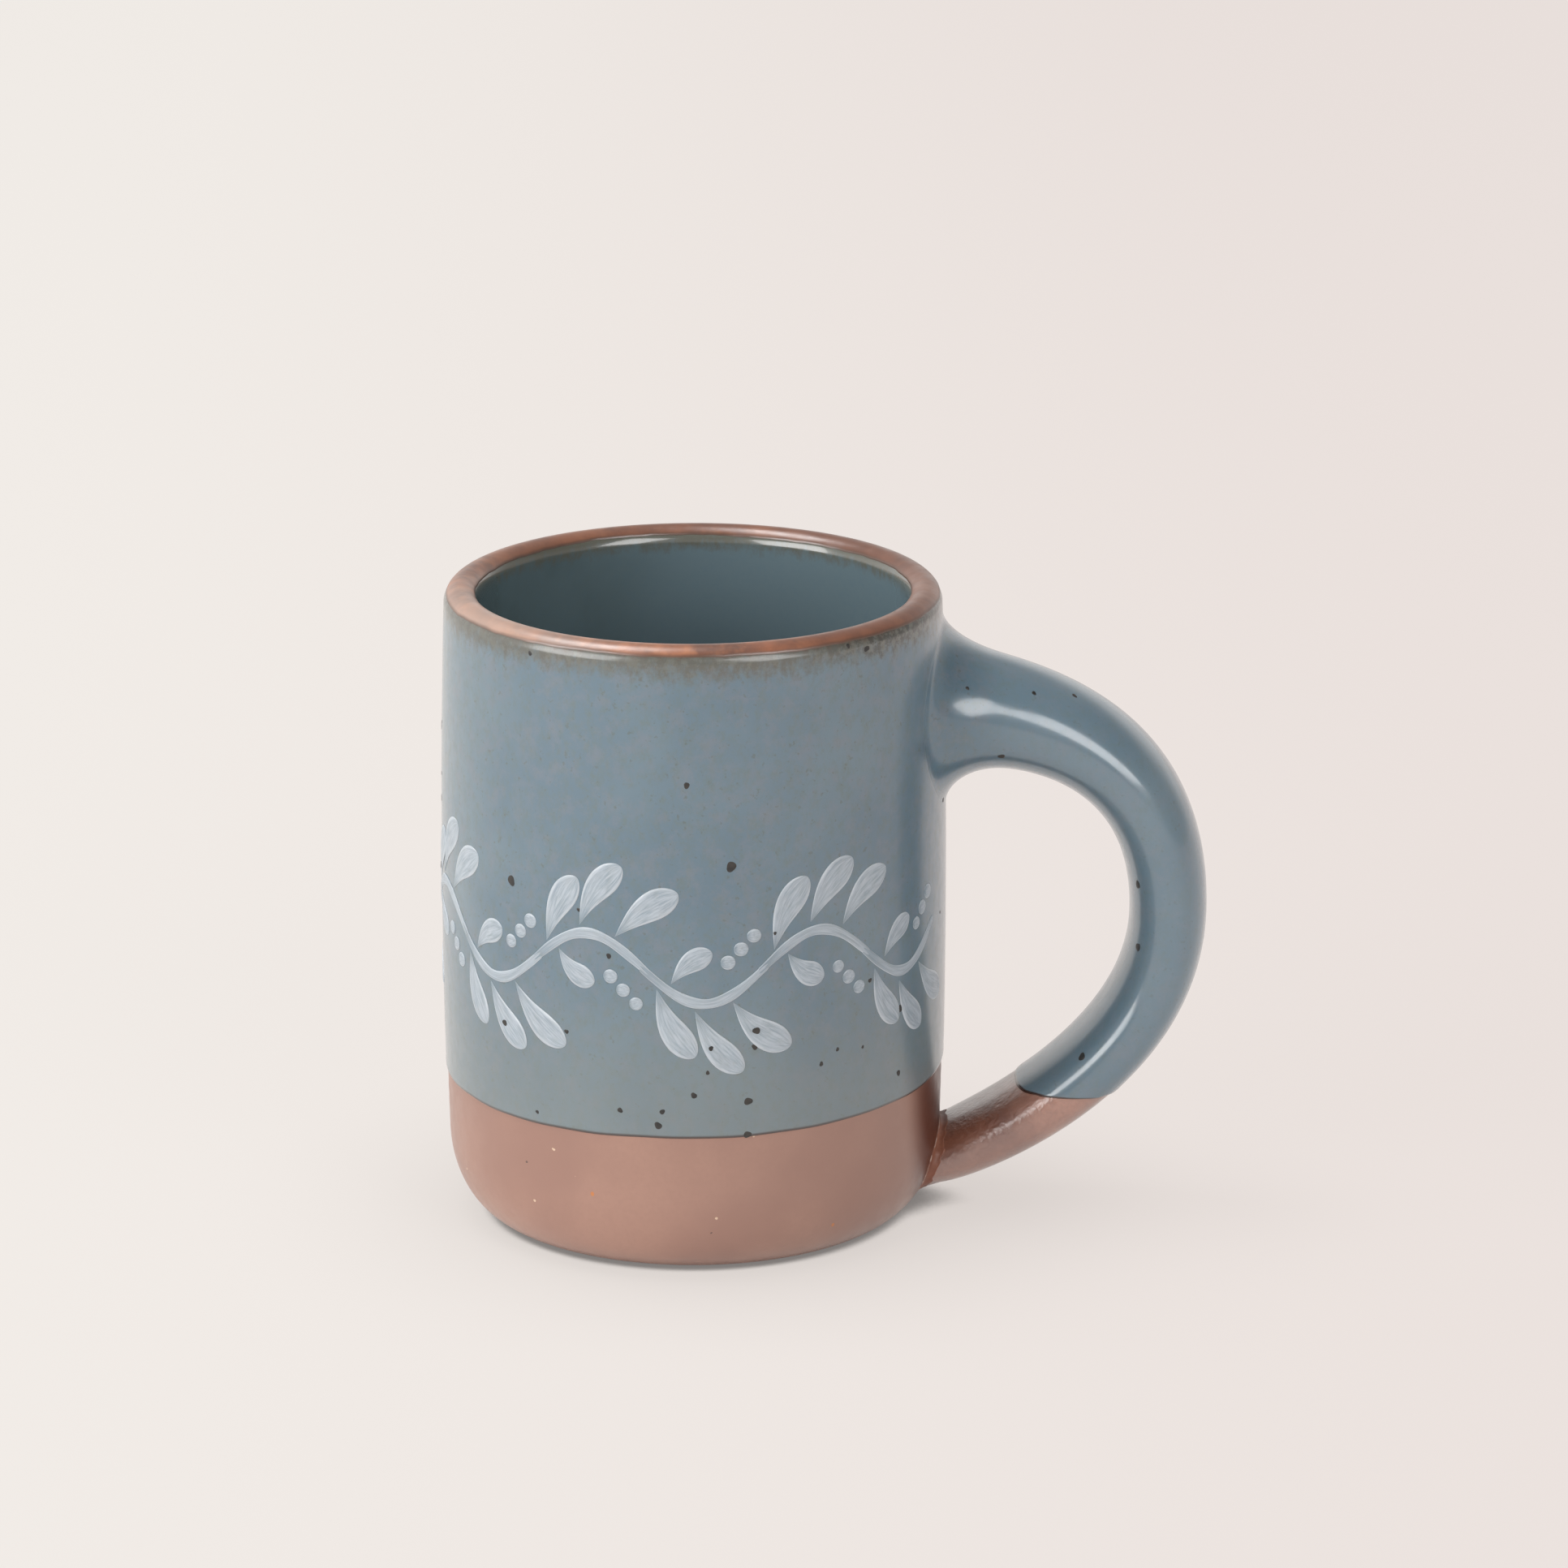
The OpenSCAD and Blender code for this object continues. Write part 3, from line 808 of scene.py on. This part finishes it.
def strap_skin(v, a, off):
    """Points of the strap's skin at stations v from 0 to 1 and angles a round it, off above the
    clay. Stations past an end lie on the straight run of the clay into the cup."""
    v, a = np.broadcast_arrays(v, a)
    u = np.clip(v, 0, 1)[..., None]
    first = u < 0.5
    line = np.where(first, cubic(upper_line, 2 * u), cubic(lower_line, 2 * u - 1))
    way = np.where(first, cubic_way(upper_line, 2 * u), cubic_way(lower_line, 2 * u - 1))
    way /= np.linalg.norm(way, axis=-1, keepdims=True)
    middle = line + way * (v[..., None] - u) * wall_t
    power = cubic(section_power, u[..., 0])
    t = (cubic(thickness, u[..., 0]) / 2 + off) * boxed(np.cos(a), power)
    w = (cubic(width, u[..., 0]) / 2 + off) * boxed(np.sin(a), power)
    return np.stack([middle[..., 0] - way[..., 1] * t, w, middle[..., 1] + way[..., 0] * t], -1)


def crossing(test, low, high):
    """Where a test that grows with the station crosses zero, by halving the range."""
    for _ in range(40):
        middle = (low + high) / 2
        above = test(middle) > 0
        low, high = np.where(above, low, middle), np.where(above, middle, high)
    return (low + high) / 2


def outside(points, off):
    """How far points lie outside the cup's clay, raised by off."""
    return np.hypot(points[..., 0], points[..., 1]) - cup_r(points[..., 2]) - off


around = all_round(128)


def root_met(off):
    """Station at which each line of the skin leaves the wall."""
    return crossing(lambda v: outside(strap_skin(v, around, off), off), -1.5, 0.2)


def toe_met(off):
    """Station at which each line of the skin comes back to the cup."""
    return crossing(lambda v: -outside(strap_skin(v, around, off), off), 0.8, 2.5)


print(f"handle reaches {strap_skin(0.5, 0.0, glaze_t)[0]:.1f} mm from the axis")

# %% The clay strap
sunk = 0.35
pull_marks = 0.04
first, last = root_met(0) - sunk, toe_met(0) + sunk
stations = first + (last - first) * np.linspace(0, 1, 110)[:, None]
pulled = pull_marks * np.sin(9 * around) * np.sin(3 * around + 1)
strap = lay("clay_strap", strap_skin(stations, around, pulled))
finish_piece(strap, strap_clay, "handle_clay", "handle")

# %% [markdown]
# ## The joints
#
# Where the strap meets the wall, the potter wipes slip into the corner until it is a smooth
# hollow. That is a blend surface: for every line of the strap's skin, a cubic curve leaves the
# strap along its own direction and lands flat on the wall. A boolean and a bevel would give a
# crease or a fixed radius, and this one widens and narrows as a thumb does.

# %% The hollow between strap and cup
pull_share = 0.6
collar_along = 11.0
collar_spread = 5.2
seam_along = 1.6
seam_spread = 1.2
collar_sunk = 0.05
seam_proud = 0.05
ring_past = 0.2
ring_deep = 2.0
ring_sunk = 1.0
small_step = 0.002
small_share = 0.02


def hollow(way, along, spread, off, steps):
    """Curves from the cup to the strap, as (steps, columns, 3), and the station where each ends.
    way is 1 at the root and -1 at the lower end."""
    met = root_met(off) if way > 0 else toe_met(off)
    root = strap_skin(met, around, off)

    def beyond(v):
        """How much further than along from the root the skin is, v stations on."""
        return np.linalg.norm(strap_skin(met + way * v, around, off) - root, axis=-1) - along

    far = met + way * crossing(beyond, 0, 0.4)
    tip = strap_skin(far, around, off)
    tip_way = strap_skin(far - way * small_step, around, off) - tip
    tip_way /= np.linalg.norm(tip_way, axis=-1, keepdims=True)
    middle_z = root_z if way > 0 else toe_z
    side = np.stack([root[:, 1], root[:, 2] - middle_z], -1)
    side *= (spread / np.linalg.norm(side, axis=-1))[:, None]
    turn = np.arctan2(root[:, 1], root[:, 0])

    def landing(share):
        """Points on the wall, a share of the spread away from the root."""
        z = root[:, 2] + share * side[:, 1]
        return at_turn(cup_r(z) + off, turn + share * side[:, 0] / cup_r(root[:, 2]), z)

    land = landing(1.0)
    land_way = landing(1 - small_share) - land
    land_way /= np.linalg.norm(land_way, axis=-1, keepdims=True)
    pull = [pull_share * np.linalg.norm(root - p, axis=-1, keepdims=True) for p in (land, tip)]
    curve = (land, land + land_way * pull[0], tip + tip_way * pull[1], tip)
    t = np.linspace(0, 1, steps)[:, None, None]
    return cubic(curve, t), far


def lowered(points, depth):
    """Points moved towards the cup's axis by a depth."""
    inward = 1 - depth / np.hypot(points[..., 0], points[..., 1])
    return points * np.stack([inward, inward, np.ones_like(inward)], -1)


def joint_ring(way, along, spread, off):
    """The hollow as a closed ring of slip: its face, and a back sunk into strap and cup."""
    face, far = hollow(way, along, spread, off, 14)
    met = root_met(off) if way > 0 else toe_met(off)
    deep = strap_skin(met - way * ring_past, around, -ring_deep)
    tip_back = strap_skin(far, around, -ring_sunk)
    land_back = lowered(face[0], ring_sunk)
    return np.vstack([face, tip_back[None], deep[None], land_back[None]])


grid = joint_ring(1, collar_along, collar_spread, -collar_sunk)
collar = lay("root_collar", grid, rows_close=True)
finish_piece(collar, strap_clay, "handle_clay", "upper_joint")
thumbed = 1 + waver(around, 0.3, (3, 7, 13, 21), 11)
grid = joint_ring(-1, seam_along * thumbed, seam_spread * thumbed, seam_proud)
across = for_each_turn(np.linspace(0, 1, len(grid)), around)
seam = lay("toe_seam", grid, rows_close=True, across=across)
finish_piece(seam, seam_clay, "slip_seam", "lower_joint")

# %% [markdown]
# ## The glaze on the handle
#
# The coat starts sunk in the wall's coat and rises out of it, follows the hollow and the strap,
# and ends where the dip's level cut the strap. It is one skin, so no seam shows between collar
# and strap.

# %% The handle's coat
start_steps = np.array([1.8, 1.5])
start_sunk = np.array([0.35, 0.05])


def handle_coat():
    """The face from the wall to the dip line, then a back face inside the clay, with each point's
    distance from the dip line. The first two rows lie a step or two out on the wall, sunk."""
    face, far = hollow(1, collar_along, collar_spread, glaze_t, 18)
    wall_side = face[0] - (face[1] - face[0]) * start_steps[:, None, None]
    start = lowered(wall_side, start_sunk[:, None])
    line = handle_dip_z + waver(around, 0.12, (2, 5, 9, 14), 5)
    end = crossing(lambda v: line - strap_skin(v, around, 0)[:, 2], 0.6, 1.0)
    share = 1 - (1 - np.linspace(0, 1, 90)[1:, None]) ** 1.25
    v = far + (end - far) * share
    step = 0.01
    last_step = strap_skin(end, around, 0) - strap_skin(end - step, around, 0)
    distance = (end - v) * np.linalg.norm(last_step, axis=-1) / step
    strap_face = strap_skin(v, around, 0.95 * glaze_t * rolled(distance))
    back_v = end + (root_met(0) - end) * np.linspace(0.02, 1, 30)[:, None]
    back = strap_skin(back_v, around, hidden)
    before_strap = np.full((len(start) + len(face), len(around)), far_from_edge)
    from_edge = [before_strap, distance, np.full_like(back_v, far_from_edge)]
    return np.vstack([start, face, strap_face, back]), np.vstack(from_edge)


grid, edge = handle_coat()
handle_skin = lay("handle_glaze_coat", grid, rows_close=True, edge=edge)
finish_piece(handle_skin, strap_glaze, "handle_glaze", "handle_glaze")

# %% [markdown]
# ## The painted border
#
# A running vine with leaves and berries is a common border on painted pots. Each mark is a single
# press of a loaded brush, so it is a low closed cushion of paint: a line along its middle, a
# width that changes along it, and a rounded section. The marks lie in a flat strip first, x along
# the wave and y up, and are then wrapped on the wall over the glaze.

# %% Wrap flat marks on the wall
border_z = 54.0
waves = 6
wave_h = 5.5
border_free = math.radians(22)
vine_w = 1.8
paint_t = 0.2
paint_sunk = 0.1

paint_r = wall_r(border_z) + glaze_t
half_angle = (math.pi - border_free) / waves
half_l = half_angle * paint_r
mark_gap = vine_w * 0.75
half_waves = np.arange(2 * waves)


def on_wall(x, y, off):
    """Points of the wall for places x and y in mm from the middle of each half wave. Odd half
    waves are mirrored top to bottom, so that the vine swings to both sides."""
    number = half_waves[:, None, None]
    side = np.where(number % 2 == 0, 1, -1)
    turn = border_free + (number + 0.5) * half_angle + np.arcsin(x / paint_r)
    z = border_z + side * y
    return at_turn(wall_r(z) + glaze_t + off, turn, z)


def vine_y(share):
    """Height of the vine over the border's middle line at a share of a half wave."""
    return wave_h * np.sin(np.pi * share)


# %% One press of the brush
def pressed(line_x, line_y, half_w, t, section=22):
    """A cushion of paint on each half wave, with the place of each point along and across it.
    line_x and line_y are (half waves, rows), with the half width half_w and the share t on each
    row. The section is an oval: its upper half stands on the glaze and its lower half is sunk."""
    a = all_round(section)
    slope = np.arctan2(np.gradient(line_y, axis=1), np.gradient(line_x, axis=1))[..., None]
    across = half_w[..., None] * np.cos(a)
    x = line_x[..., None] - np.sin(slope) * across
    y = line_y[..., None] + np.cos(slope) * across
    load = np.clip(half_w / half_w.max(1, keepdims=True), 0, 1)[..., None] ** 0.5
    ridge = 0.8 + 0.2 * np.cos(5 * np.cos(a) + 3)
    raised = paint_t * load * ridge * np.abs(np.sin(a)) ** 0.7
    off = np.where(np.sin(a) > 0, raised, paint_sunk * np.sin(a))
    along, over = (np.broadcast_to(v, off.shape) for v in (t[:, None], np.cos(a)))
    return on_wall(x, y, off), along, over


def brush_rows(rows):
    """Shares along a mark, closer together at its two ends."""
    return (1 - np.cos(np.pi * np.linspace(0.02, 0.995, rows))) / 2


def lay_marks(name, *sets):
    """One piece from sets of marks, which keeps each point's place along and across its stroke."""
    points, along, across = (np.concatenate(values) for values in zip(*sets))
    return lay(name, points, along=along, across=across)


# %% The vine
def vine():
    """Twelve strokes, each over a half wave, thinner where the brush lands and lifts."""
    t = brush_rows(60)
    share = np.tile(-0.05 + 1.1 * t, (len(half_waves), 1))
    swelling = 0.62 + 0.38 * np.sin(np.pi * t)
    round_ends = np.minimum(1, np.sqrt(np.minimum(t, 1 - t) * 30))
    unsteady = 1 + 0.08 * np.sin(share * 17 + half_waves[:, None] * 2.3)
    half_w = vine_w / 2 * swelling * round_ends * unsteady
    return pressed((share - 0.5) * half_l, vine_y(share), half_w, t)


vine_piece = lay_marks("vine_strokes", vine())

# %% The leaves
leaf_l = 13.0
leaf_w = 4.8
leaf_bend = 1.0
inner_leaf_l = 8.5
inner_leaf_w = 4.0
# Each leaf's place along the half wave, as a share, and its direction in degrees from x.
outer_leaves = ((0.1, 62), (0.42, 52), (0.74, 40))
inner_leaf = (0.22, -38)


def leaf_share(t):
    """Width of a leaf at a share of its length: a sine that leans to the tip, with a round end."""
    return np.maximum(np.sin(np.pi * t**1.9), 0) ** 0.55


def leaf_set(share, direction, length, breadth, seed):
    """One leaf on every half wave, each a little different in length, breadth and turn."""
    draw = np.random.default_rng(seed)
    t = brush_rows(34)

    def vary(spread):
        """A factor near 1 for each half wave."""
        return 1 + draw.uniform(-spread, spread, (len(half_waves), 1))

    turn = np.radians(direction) * vary(0.07)
    side = np.sign(direction)
    x = length * vary(0.05) * t
    y = side * leaf_bend * vary(0.3) * np.sin(np.pi * t)
    start_x, start_y = (share - 0.5) * half_l, vine_y(share) + side * mark_gap
    line_x = start_x + x * np.cos(turn) - y * np.sin(turn)
    line_y = start_y + x * np.sin(turn) + y * np.cos(turn)
    half_w = breadth / 2 * vary(0.06) * leaf_share(t)
    return pressed(line_x, line_y, half_w, t)


outer = [leaf_set(s, d, leaf_l, leaf_w, 20 + i) for i, (s, d) in enumerate(outer_leaves)]
inner = leaf_set(*inner_leaf, inner_leaf_l, inner_leaf_w, 30)
leaf_piece = lay_marks("leaf_strokes", *outer, inner)

# %% The berries
berry_d = 2.4
# Each berry's place along the half wave, as a share, and how many diameters it lies from the
# border's middle line, on the side away from the vine.
berries = ((0.7, 0.6), (0.81, 1.5), (0.92, 2.4))


def berry_set(share, drop, seed):
    """One dot on every half wave: a short stroke whose width follows a circle, a little uneven."""
    draw = np.random.default_rng(seed)
    size = berry_d / 2 * (1 + draw.uniform(-0.1, 0.06, (len(half_waves), 1)))
    t = brush_rows(16)
    lean = draw.uniform(-0.2, 0.2, (len(half_waves), 1))
    line_x = (share - 0.5) * half_l + size * (2 * t - 1)
    line_y = -berry_d * drop + lean * (2 * t - 1) * size
    half_w = size * np.sqrt(1 - (2 * t - 1) ** 2)
    return pressed(line_x, line_y, half_w, t, section=16)


dots_of_paint = [berry_set(share, drop, 40 + i) for i, (share, drop) in enumerate(berries)]
berry_piece = lay_marks("berry_dots", *dots_of_paint)

# %% [markdown]
# ### The paint
#
# The paint is a pale slip, thin enough for the glaze to show through it. Each mark is fainter
# where the brush landed, has streaks along it from the hairs, and a paler rim where the paint
# gathered. The streaks follow the stroke, so the material reads the two attributes that each
# cushion carries, how far along it and how far across it a point lies.

# %% The brushed finish
PAINT = tint(190, 198, 206)
PAINT_RIM = tint(204, 210, 216)
streak_along = 1.4
streak_across = 3.5
streak_change = 60.0


def paint_colour(tree):
    """Glaze below, paint over it, by a cover that grows along the stroke and varies in streaks.
    The noise also moves on with the place on the mug, so that no two strokes are alike."""
    along, across = read(tree, "along"), read(tree, "across")
    stroke_x = maths(tree, "MULTIPLY", along, streak_along)
    stroke_y = maths(tree, "MULTIPLY", across, streak_across)
    in_stroke = put(tree, "CombineXYZ", {0: stroke_x, 1: stroke_y}).outputs[0]
    moving = {0: place_in(tree), "Scale": streak_change}
    on_mug = put(tree, "VectorMath", moving, operation="SCALE").outputs[0]
    vector = put(tree, "VectorMath", {0: in_stroke, 1: on_mug}).outputs[0]
    hairs = {"Vector": vector, "Scale": 2.2, "Detail": 4.0, "Roughness": 0.6}
    streak = put(tree, "TexNoise", hairs).outputs["Fac"]
    cover = window(tree, streak, 0.3, 0.7, 0.38, 0.8)
    landed = window(tree, along, 0.0, 0.35, 0.45, 1.0)
    cover = maths(tree, "MULTIPLY", cover, landed)
    rim = window(tree, maths(tree, "ABSOLUTE", across), 0.72, 0.97)
    colour = mix(tree, cover, glaze_colour(tree), PAINT)
    return mix(tree, maths(tree, "MULTIPLY", rim, 0.55), colour, PAINT_RIM)


paint_ridges = (relief(0.5, 0.03, detail=3),)
brushed = new_finish("brushed_slip", paint_colour, fine_gloss(0.3, 0.42), paint_ridges)
finish_piece(vine_piece, brushed, "brushwork", "painted_vine")
finish_piece(leaf_piece, brushed, "brushwork", "painted_leaves")
finish_piece(berry_piece, brushed, "brushwork", "painted_berries")

# %% [markdown]
# ## Camera
#
# The view comes from the ellipses of the rim and the foot and from the outline of the wall. The
# lens is long, so the camera stands more than a metre off and looks down at about 17 degrees.

# %% The camera
lens_pixels = 9000
photo_pixels = 1932
sensor = 36.0
eye = Vector((0.0, -1.1662, 0.4224))
pitch = math.radians(16.6734)
yaw = math.radians(0.739)

camera_data = bpy.data.cameras.new("camera")
camera_data.sensor_width = sensor
camera_data.lens = lens_pixels / photo_pixels * sensor
camera = add_object("camera", camera_data)
forward = Vector((math.sin(yaw) * math.cos(pitch), math.cos(yaw) * math.cos(pitch), -math.sin(pitch)))
camera.location = eye
camera.rotation_euler = forward.to_track_quat("-Z", "Y").to_euler()
camera_data.clip_start, camera_data.clip_end = 0.05, 50
bpy.context.scene.camera = camera
print(f"lens {camera_data.lens:.1f} mm")

# %% [markdown]
# ## Iron spots
#
# Grains of iron in the clay melt through the glaze and leave dark, slightly raised spots. Each is
# a small uneven cushion. Those that can be seen sit where they are on the real mug: a ray from
# the camera through the pixel finds the surface. On the far side the places are drawn by chance.

# %% Find places for the spots
def ray_through(x, y):
    """Direction from the camera through a pixel of the photograph."""
    right = forward.cross(Vector((0, 0, 1))).normalized()
    up = right.cross(forward)
    middle = photo_pixels / 2
    return (forward * lens_pixels + right * (x - middle) + up * (middle - y)).normalized()


# Pixel across, pixel down, and diameter in millimetres.
spots_seen = (
    (630, 1085, 1.5), (901, 1068, 1.5), (846, 968, 0.9), (750, 1178, 0.8), (764, 1368, 0.8),
    (816, 1370, 0.8), (811, 1387, 1.1), (855, 1350, 0.9), (922, 1357, 1.2), (921, 1398, 1.1),
    (932, 1270, 1.1), (930, 1290, 0.9), (876, 1292, 0.7), (1012, 1311, 0.7), (1107, 1322, 0.9),
    (1109, 1243, 1.3), (622, 1260, 0.9), (698, 1271, 0.7), (713, 1121, 0.6), (662, 1370, 0.6),
    (1068, 799, 1.0), (1045, 796, 0.7), (653, 805, 0.7), (1234, 932, 1.0), (1402, 1090, 1.3),
    (1402, 1167, 1.3), (1333, 1302, 1.2), (1274, 854, 0.7), (1324, 857, 0.8), (1192, 848, 0.6),
    (872, 1322, 0.6), (1032, 1293, 0.6), (1063, 1290, 0.5), (955, 1150, 0.5), (1072, 1208, 0.7),
)
spots_behind = 60
outside_r = 0.2


def search_tree(piece):
    """The faces of a piece in an order in which a ray finds them fast."""
    points = [v.co for v in piece.data.vertices]
    return BVHTree.FromPolygons(points, [p.vertices[:] for p in piece.data.polygons])


trees = [search_tree(piece) for piece in (wall, handle_skin, leaf_piece, vine_piece, band)]


def nearest_hit(start, way):
    """The first surface that a ray meets, as a point and a normal, or None."""
    hits = [tree.ray_cast(start, way) for tree in trees]
    hits = [(h[3], h[0], h[1]) for h in hits if h[0] is not None]
    return min(hits, key=lambda h: h[0])[1:] if hits else None


def spot_places():
    """Point, normal and diameter of each spot: the ones seen, then some behind."""
    places = [(nearest_hit(eye, ray_through(x, y)), size) for x, y, size in spots_seen]
    draw = np.random.default_rng(12)
    turns = np.radians(draw.uniform(-15, 195, spots_behind))
    heights = draw.uniform(28, 92, spots_behind)
    sizes = draw.uniform(0.5, 1.3, spots_behind)
    for turn, z, size in zip(turns, heights, sizes):
        start = Vector((outside_r * math.cos(turn), outside_r * math.sin(turn), z * MM))
        way = Vector((-start.x, -start.y, 0)).normalized()
        places.append((nearest_hit(start, way), size))
    return [(np.array(hit[0]) / MM, np.array(hit[1]), size) for hit, size in places if hit]


# %% Shape the spots
spot_h = 0.045
spot_edge = 0.004
spot_sunk = 0.08


def spots(places, rings=5, sides=14):
    """Low cushions: rings round each normal, with an uneven outline, highest in the middle."""
    centre, normal, size = (np.array(v) for v in zip(*places))
    draw = np.random.default_rng(9)
    side = np.cross(normal, [0.0, 0.0, 1.0])
    side /= np.linalg.norm(side, axis=1, keepdims=True)
    upward = np.cross(side, normal)
    a = all_round(sides)
    phase = draw.uniform(0, 2 * np.pi, (len(size), 2, 1))
    uneven = 1.12 + 0.12 * np.sin(2 * a + phase[:, 0]) + 0.1 * np.sin(3 * a + phase[:, 1])
    share = np.sin(np.linspace(0.1, 1, rings) * np.pi / 2)
    out = np.concatenate([share, share[::-1] * 0.96])[None, :, None]
    radius = size[:, None, None] / 2 * out * uneven[:, None]
    top = spot_h * np.sqrt(1 - share**2) + spot_edge
    lift = np.concatenate([top, np.full(rings, -spot_sunk)])[:, None, None]
    side, upward, normal = (v[:, None, None] for v in (side, upward, normal))
    flat = radius[..., None] * (np.cos(a)[:, None] * side + np.sin(a)[:, None] * upward)
    return centre[:, None, None] + flat + lift * normal


IRON = tint(34, 33, 32)
IRON_BROWN = tint(50, 46, 42)


def iron_colour(tree):
    """Dark brown that varies from spot to spot and within each."""
    return mix(tree, patches(tree, 1.1, (0.4, 0.65)), IRON, IRON_BROWN)


iron = new_finish("iron_spot", iron_colour, 0.4)
spot_piece = lay("iron_spots", spots(spot_places()))
finish_piece(spot_piece, iron, "outer_glaze")

# %% [markdown]
# ## Floor and light
#
# The highlights tell where the lamps were. What the lip mirrors is a softbox overhead, a little to
# the left. The streak on the handle's shoulder, the shine under the back lip and the one on the
# front of the lip all mirror a second one to the right of the camera, taller than wide and leaning.
# A third fills in from the left. An upright wall seen from above mirrors the floor and no lamp, so
# its dark upright band on the right is the handle, mirrored, and it needs nothing but a clear
# floor behind it.
#
# The paper under the mug glows, because in the photograph it is nearly white. A glow takes no
# shadow, so it is dimmed where ambient occlusion finds the floor covered: a little all round the
# foot, and much more in the thin gap where foot and table touch. The room is white too, dimmer
# overhead, and dimmer on the camera's side than behind the mug on the left.

# %% The floor
FLOOR_LEFT = tint(241, 236, 231)
FLOOR_RIGHT = tint(234, 225, 221)
floor_size = 8.0
floor_glow = 0.92
contact_reach = 0.05
contact_open = 0.3
contact_dark = 0.86
touch_open = (0.14, 0.28)
touch_dark = 0.3
floor_drop = 0.05

bpy.ops.mesh.primitive_plane_add(size=floor_size, location=(0, floor_size / 4, -floor_drop * MM))
floor = bpy.context.object
floor.name = "floor"


def seen_rays(tree):
    """1 for what the camera, a gloss or a glass sees, and 0 for the light that a surface gets."""
    rays = put(tree, "LightPath").outputs
    seen = maths(tree, "MAXIMUM", rays["Is Camera Ray"], rays["Is Glossy Ray"])
    return maths(tree, "MAXIMUM", seen, rays["Is Transmission Ray"])


def floor_paper():
    """Pale paper, a little pinker to the right. Where it is seen, most of its colour glows, so
    that the shadow stays and is soft."""
    material = bpy.data.materials.new("floor_paper")
    material.use_nodes = True
    tree = material.node_tree
    tree.nodes.clear()
    x = put(tree, "SeparateXYZ", {0: place_in(tree)}).outputs["X"]
    colour = mix(tree, window(tree, x, -0.2, 0.2), FLOOR_LEFT, FLOOR_RIGHT)
    paper = put(tree, "BsdfDiffuse", {"Color": colour})
    cover = put(tree, "AmbientOcclusion", {"Distance": contact_reach}, samples=32)
    near = window(tree, cover.outputs["AO"], contact_open, 1, contact_dark, 1)
    touching = window(tree, cover.outputs["AO"], *touch_open, touch_dark, 1)
    strength = maths(tree, "MULTIPLY", near, touching)
    glow = put(tree, "Emission", {"Color": colour, "Strength": strength})
    share = maths(tree, "MULTIPLY", seen_rays(tree), floor_glow)
    both = put(tree, "MixShader", {0: share, 1: paper.outputs[0], 2: glow.outputs[0]})
    put(tree, "OutputMaterial", {"Surface": both.outputs[0]})
    return material


floor.data.materials.append(floor_paper())

# %% The lamps
def softbox(name, place, size, brightness, roll=0.0, aim=(0, 0, 0.05)):
    """A rectangular lamp at a place, aimed at a point and rolled about its aim, in degrees. Its
    size is (width, depth), and its power is its brightness, where 1 is white, times area and pi."""
    data = bpy.data.lights.new(name, "AREA")
    data.shape = "RECTANGLE"
    data.size, data.size_y = size
    data.energy = brightness * size[0] * size[1] * math.pi
    lamp = add_object(name, data)
    lamp.location = place
    turn = (Vector(aim) - Vector(place)).to_track_quat("-Z", "Y")
    lamp.rotation_euler = (turn @ Quaternion((0, 0, 1), math.radians(roll))).to_euler()


softbox("overhead_left", (-1.0, 0.35, 2.7), (1.3, 1.3), 8.0)
softbox("front_right", (1.02, -1.5, 0.95), (0.9, 1.2), 4.4, 25)
softbox("left_fill", (-1.5, -0.95, 0.75), (1.4, 1.1), 5.2)

# %% The world
behind_left = (-0.5, 0.85, 0)
overhead_dim = 0.36
near_dim = 0.42

world = bpy.data.worlds.new("world")
bpy.context.scene.world = world
world.use_nodes = True
sky = world.node_tree
sky.nodes.clear()
outward = put(sky, "TexCoord").outputs["Generated"]
upward = put(sky, "SeparateXYZ", {0: outward}).outputs["Z"]
overhead = window(sky, upward, 0.22, 0.55, 1, overhead_dim)
facing = put(sky, "VectorMath", {0: outward, 1: behind_left}, operation="DOT_PRODUCT")
behind = window(sky, facing.outputs["Value"], -0.1, 0.5, near_dim, 1)
strength = maths(sky, "MULTIPLY", overhead, behind)
walls = put(sky, "Background", {"Color": tint(247, 243, 240), "Strength": strength})
put(sky, "OutputWorld", {"Surface": walls.outputs[0]})
bpy.context.scene.view_settings.view_transform = "Standard"
